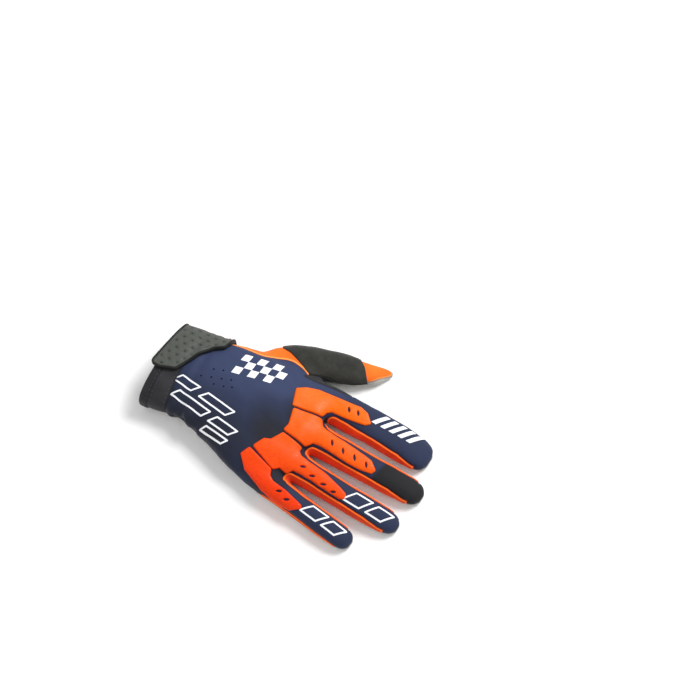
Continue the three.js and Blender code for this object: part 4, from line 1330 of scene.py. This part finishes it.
# %% Binding tape round the wrist
BINDING_PROUD = 0.75
TAPE_SOLE = -0.3
TAPE_INSIDE = 0.15
GROOVE_SHADE_AT, GROOVE_SHADE_LEAST = 5.2, 0.5
LOOP_POINTS = 150
profile = [
    (0.0, -2.2), (-0.7, -1.5), (-0.9, -0.7), (-0.7, 0.2), (-0.1, BINDING_PROUD), (1.4, BINDING_PROUD + 0.15),
    (4.4, BINDING_PROUD + 0.1), (5.6, BINDING_PROUD - 0.05), (6.2, 0.25), (6.3, -0.6), (6.2, -2.3),
    (3.0, -2.5),
]
tape = bmesh.new()
loops = []
for x, offset in profile:
    ring = bmesh.ops.create_circle(tape, segments=LOOP_POINTS, radius=1.0)["verts"]
    turn = np.arange(LOOP_POINTS) / LOOP_POINTS
    share = np.full(LOOP_POINTS, max(x, 0.0) / PALM_LENGTH)
    for v, co in zip(ring, hand_place(share, turn, offset)):
        v.co = (x, co[1], max(co[2], TAPE_INSIDE - offset if offset < 0 else TAPE_SOLE))
    loops.append([e for e in tape.edges if e.verts[0] in set(ring) and e.verts[1] in set(ring)])
for one, other in zip(loops, loops[1:] + loops[:1]):
    bmesh.ops.bridge_loops(tape, edges=one + other)
bmesh.ops.recalc_face_normals(tape, faces=tape.faces)
# Painted shade: the tape reads this number as its distance to a seam, so a dark line of painted shade runs
# round it along the row of stitches.
groove_shade_distance = tape.verts.layers.float.new("seam")
for v in tape.verts:
    v[groove_shade_distance] = GROOVE_SHADE_LEAST + abs(v.co.x - GROOVE_SHADE_AT)
shade_smooth(tape)
piece("binding_tape", tape, [TAPE], "binding_tape", replaces="cuff_binding")
print("binding done")

# %% [markdown]
# Thread shows where the cuff, the patch and the binding are sewn down. A stitch is a small stretched sphere
# with few faces, because there are hundreds. A ray sent down on the skin finds where each one lies and
# which way is out, and walking along the row in equal steps spaces them evenly round the curve of the
# wrist.

# %% Rows of stitches
STITCH_STEP = 3.1
STITCH_LENGTH = 2.2
STITCH_WIDTH = 0.62
STITCH_LOWEST = 3.0
STITCH_INSET = 1.9
SECOND_ROW, BINDING_ROW = 7.8, 5.0
CLOTH_LIFT, PATCH_LIFT, BINDING_LIFT = 0.1, 1.0, 0.85
PATCH_STITCH_DEPTH = 1.2
NEEDLE_HEIGHT, NEEDLE_STEP, LARGEST_GAP = 60, 0.4, 2.0
ROW_POINTS = 60
THREAD = stretch_cloth("grey thread", "64656a", "4b4c51", sheen=0.2, pitch=0.3)
under_needle = BVHTree.FromBMesh(skin)


def sewn_row(bm, corners, lift, field):
    """Adds stitches along a line seen from above, lifted off the skin, where the field is below zero."""
    line = []
    for (x0, y0), (x1, y1) in zip(corners, corners[1:]):
        count = max(int(math.hypot(x1 - x0, y1 - y0) / NEEDLE_STEP), 1)
        for i in range(count):
            t = i / count
            start = Vector((x0 + (x1 - x0) * t, y0 + (y1 - y0) * t, NEEDLE_HEIGHT))
            hit, normal, _, _ = under_needle.ray_cast(start, (0, 0, -1))
            if hit and field(np.array([hit]))[0] < 0:
                line.append((hit + normal * lift, normal))
    walked = 0.0
    for (here, normal), (ahead, _) in zip(line, line[1:]):
        gap = (ahead - here).length
        walked += gap
        if walked < STITCH_STEP or gap > LARGEST_GAP:
            continue
        walked = 0.0
        along = (ahead - here).normalized()
        across = normal.cross(along).normalized()
        turn = Matrix((along, across, along.cross(across))).transposed().to_4x4()
        size = Matrix.Diagonal((STITCH_LENGTH / 2, STITCH_WIDTH / 2, STITCH_WIDTH / 2, 1))
        place = Matrix.Translation(here) @ turn @ size
        bmesh.ops.create_uvsphere(bm, u_segments=6, v_segments=4, radius=1.0, matrix=place)


def thread_piece(name, rows, slot):
    """One joined mesh of stitches, from rows of (corners, lift, field)."""
    threads = bmesh.new()
    for corners, lift, field in rows:
        sewn_row(threads, corners, lift, field)
    shade_smooth(threads)
    print(name, "has", len(threads.faces), "faces")
    piece(name, threads, [THREAD], slot)


def beside_cuff_front(shift):
    """The line of the cuff's front edge from the outer side to the thumb side, moved along the hand."""
    slant = CUFF_SLANT_RUN / (PALM_WIDTH / 2)
    return [(CUFF_FRONT + shift + slant * max(-y, 0), y) for y in np.linspace(-40, 44, ROW_POINTS)]


def off_table(places):
    """Below zero where the cloth is high enough above the table to be sewn."""
    return STITCH_LOWEST - places[:, 2]


def on_patch(places):
    """Below zero where the patch lies under the needle."""
    return patch_field(places) + PATCH_STITCH_DEPTH


def round_wrist(x):
    return [(x, y) for y in np.linspace(-44, 44, ROW_POINTS)]


patch_corners = over_digit(DIGITS["thumb"], PATCH_OUTLINE)
patch_row = [tuple(corner) for corner in moved_outline(patch_corners, -STITCH_INSET)]
cuff_lines = [beside_cuff_front(-STITCH_INSET), round_wrist(SECOND_ROW)]
cuff_rows = [(line, CLOTH_LIFT, off_table) for line in cuff_lines]
thread_piece("cuff_stitches", cuff_rows, "cuff_cloth")
thread_piece("patch_stitches", [([*patch_row, patch_row[0]], PATCH_LIFT, on_patch)], "patch_cloth")
thread_piece("binding_stitches", [(round_wrist(BINDING_ROW), BINDING_LIFT, off_table)], "binding_tape")

# %% [markdown]
# Small rubber dots under the first two fingertips grip a brake lever. Each is a low dome pressed on the
# suede, and all of them are one mesh, placed by a loop over a staggered grid.

# %% Grip dots under two fingertips
DOT_STEP = 2.6
DOT_RADIUS = 0.65
DOT_HEIGHT = 0.22
DOT_ROWS, DOT_START, DOT_SPREAD = 11, 36.0, 0.36
BELOW = -20
DOT_RUBBER = rubber("grey grip rubber", "6a6b6c", "55565a", 0.5, 0.03)
dots = bmesh.new()
for name in ("index", "middle"):
    digit = DIGITS[name]
    for row in range(DOT_ROWS):
        for step in range(-3, 4):
            distance = digit.length - DOT_START + row * DOT_STEP
            across = (step + 0.5 * (row % 2)) * DOT_STEP
            if abs(across) > DOT_SPREAD * digit.width:
                continue
            x, y = on_digit(digit, distance, across)
            hit = under_needle.ray_cast(Vector((x, y, BELOW)), (0, 0, 1))[0]
            if hit:
                dome = Matrix.Translation(hit) @ Matrix.Diagonal((DOT_RADIUS, DOT_RADIUS, DOT_HEIGHT, 1))
                bmesh.ops.create_uvsphere(dots, u_segments=8, v_segments=5, radius=1.0, matrix=dome)
shade_smooth(dots)
print("grip dots have", len(dots.faces), "faces")
piece("grip_dots", dots, [DOT_RUBBER], "palm_suede")

# %% [markdown]
# The photograph was taken from above the table with a long lens, so the camera looks down from a distance
# of more than a metre on a place beyond the thumb.

# %% Camera
AIM = Vector((8.01, 75.56, 0.0)) * MM
BACK = Vector((0.1984, -0.3732, 0.9063))
DISTANCE = 1.2912
view = bpy.data.cameras.new("view")
view.lens = 85.0
view.sensor_width = 36.0
camera = placed("camera", view)
camera.location = AIM + BACK.normalized() * DISTANCE
camera.rotation_euler = BACK.to_track_quat("Z", "Y").to_euler()
bpy.context.scene.camera = camera
print("the camera stands at", [round(c, 3) for c in camera.location])

# %% [markdown]
# A large soft light stands at the upper right, so the shadow falls softly to the lower left, and a weak one
# and the pale world open the dark side. The floor is white paper, just below the sole of the glove.

# %% Lights and floor
FLOOR_DROP = 0.0004


def soft_light(name, place, size, power):
    """A square light of a size in metres and a power in watts, which faces the glove."""
    lamp = bpy.data.lights.new(name, "AREA")
    lamp.size = size
    lamp.energy = power
    made = placed(name, lamp)
    made.location = place
    made.rotation_euler = Vector(place).to_track_quat("Z", "Y").to_euler()


soft_light("key", (0.55, 1.0, 1.4), 0.8, 31.0)
soft_light("fill", (-1.2, -0.6, 1.3), 1.6, 6.0)
world = bpy.data.worlds.new("studio")
world.use_nodes = True
background = world.node_tree.nodes["Background"]
background.inputs["Color"].default_value = (1.0, 1.0, 1.0, 1.0)
background.inputs["Strength"].default_value = 0.6
bpy.context.scene.world = world
bpy.context.scene.view_settings.view_transform = "Standard"

ground = bmesh.new()
bmesh.ops.create_grid(ground, x_segments=1, y_segments=1, size=4.0)
bmesh.ops.translate(ground, verts=ground.verts, vec=(0, 0, -FLOOR_DROP))
floor_mesh = bpy.data.meshes.new("floor")
ground.to_mesh(floor_mesh)
ground.free()
floor = placed("floor", floor_mesh)
paper = Look("white paper", 0.9)
paper.colour(hue("f7f7f7"))
floor_mesh.materials.append(paper.material)
print("lights:", len(bpy.data.lights), "and a floor", FLOOR_DROP / MM, "mm below the table")

# %% [markdown]
# Last, the skin that every piece was cut from is freed.

# %% The end
skin.free()
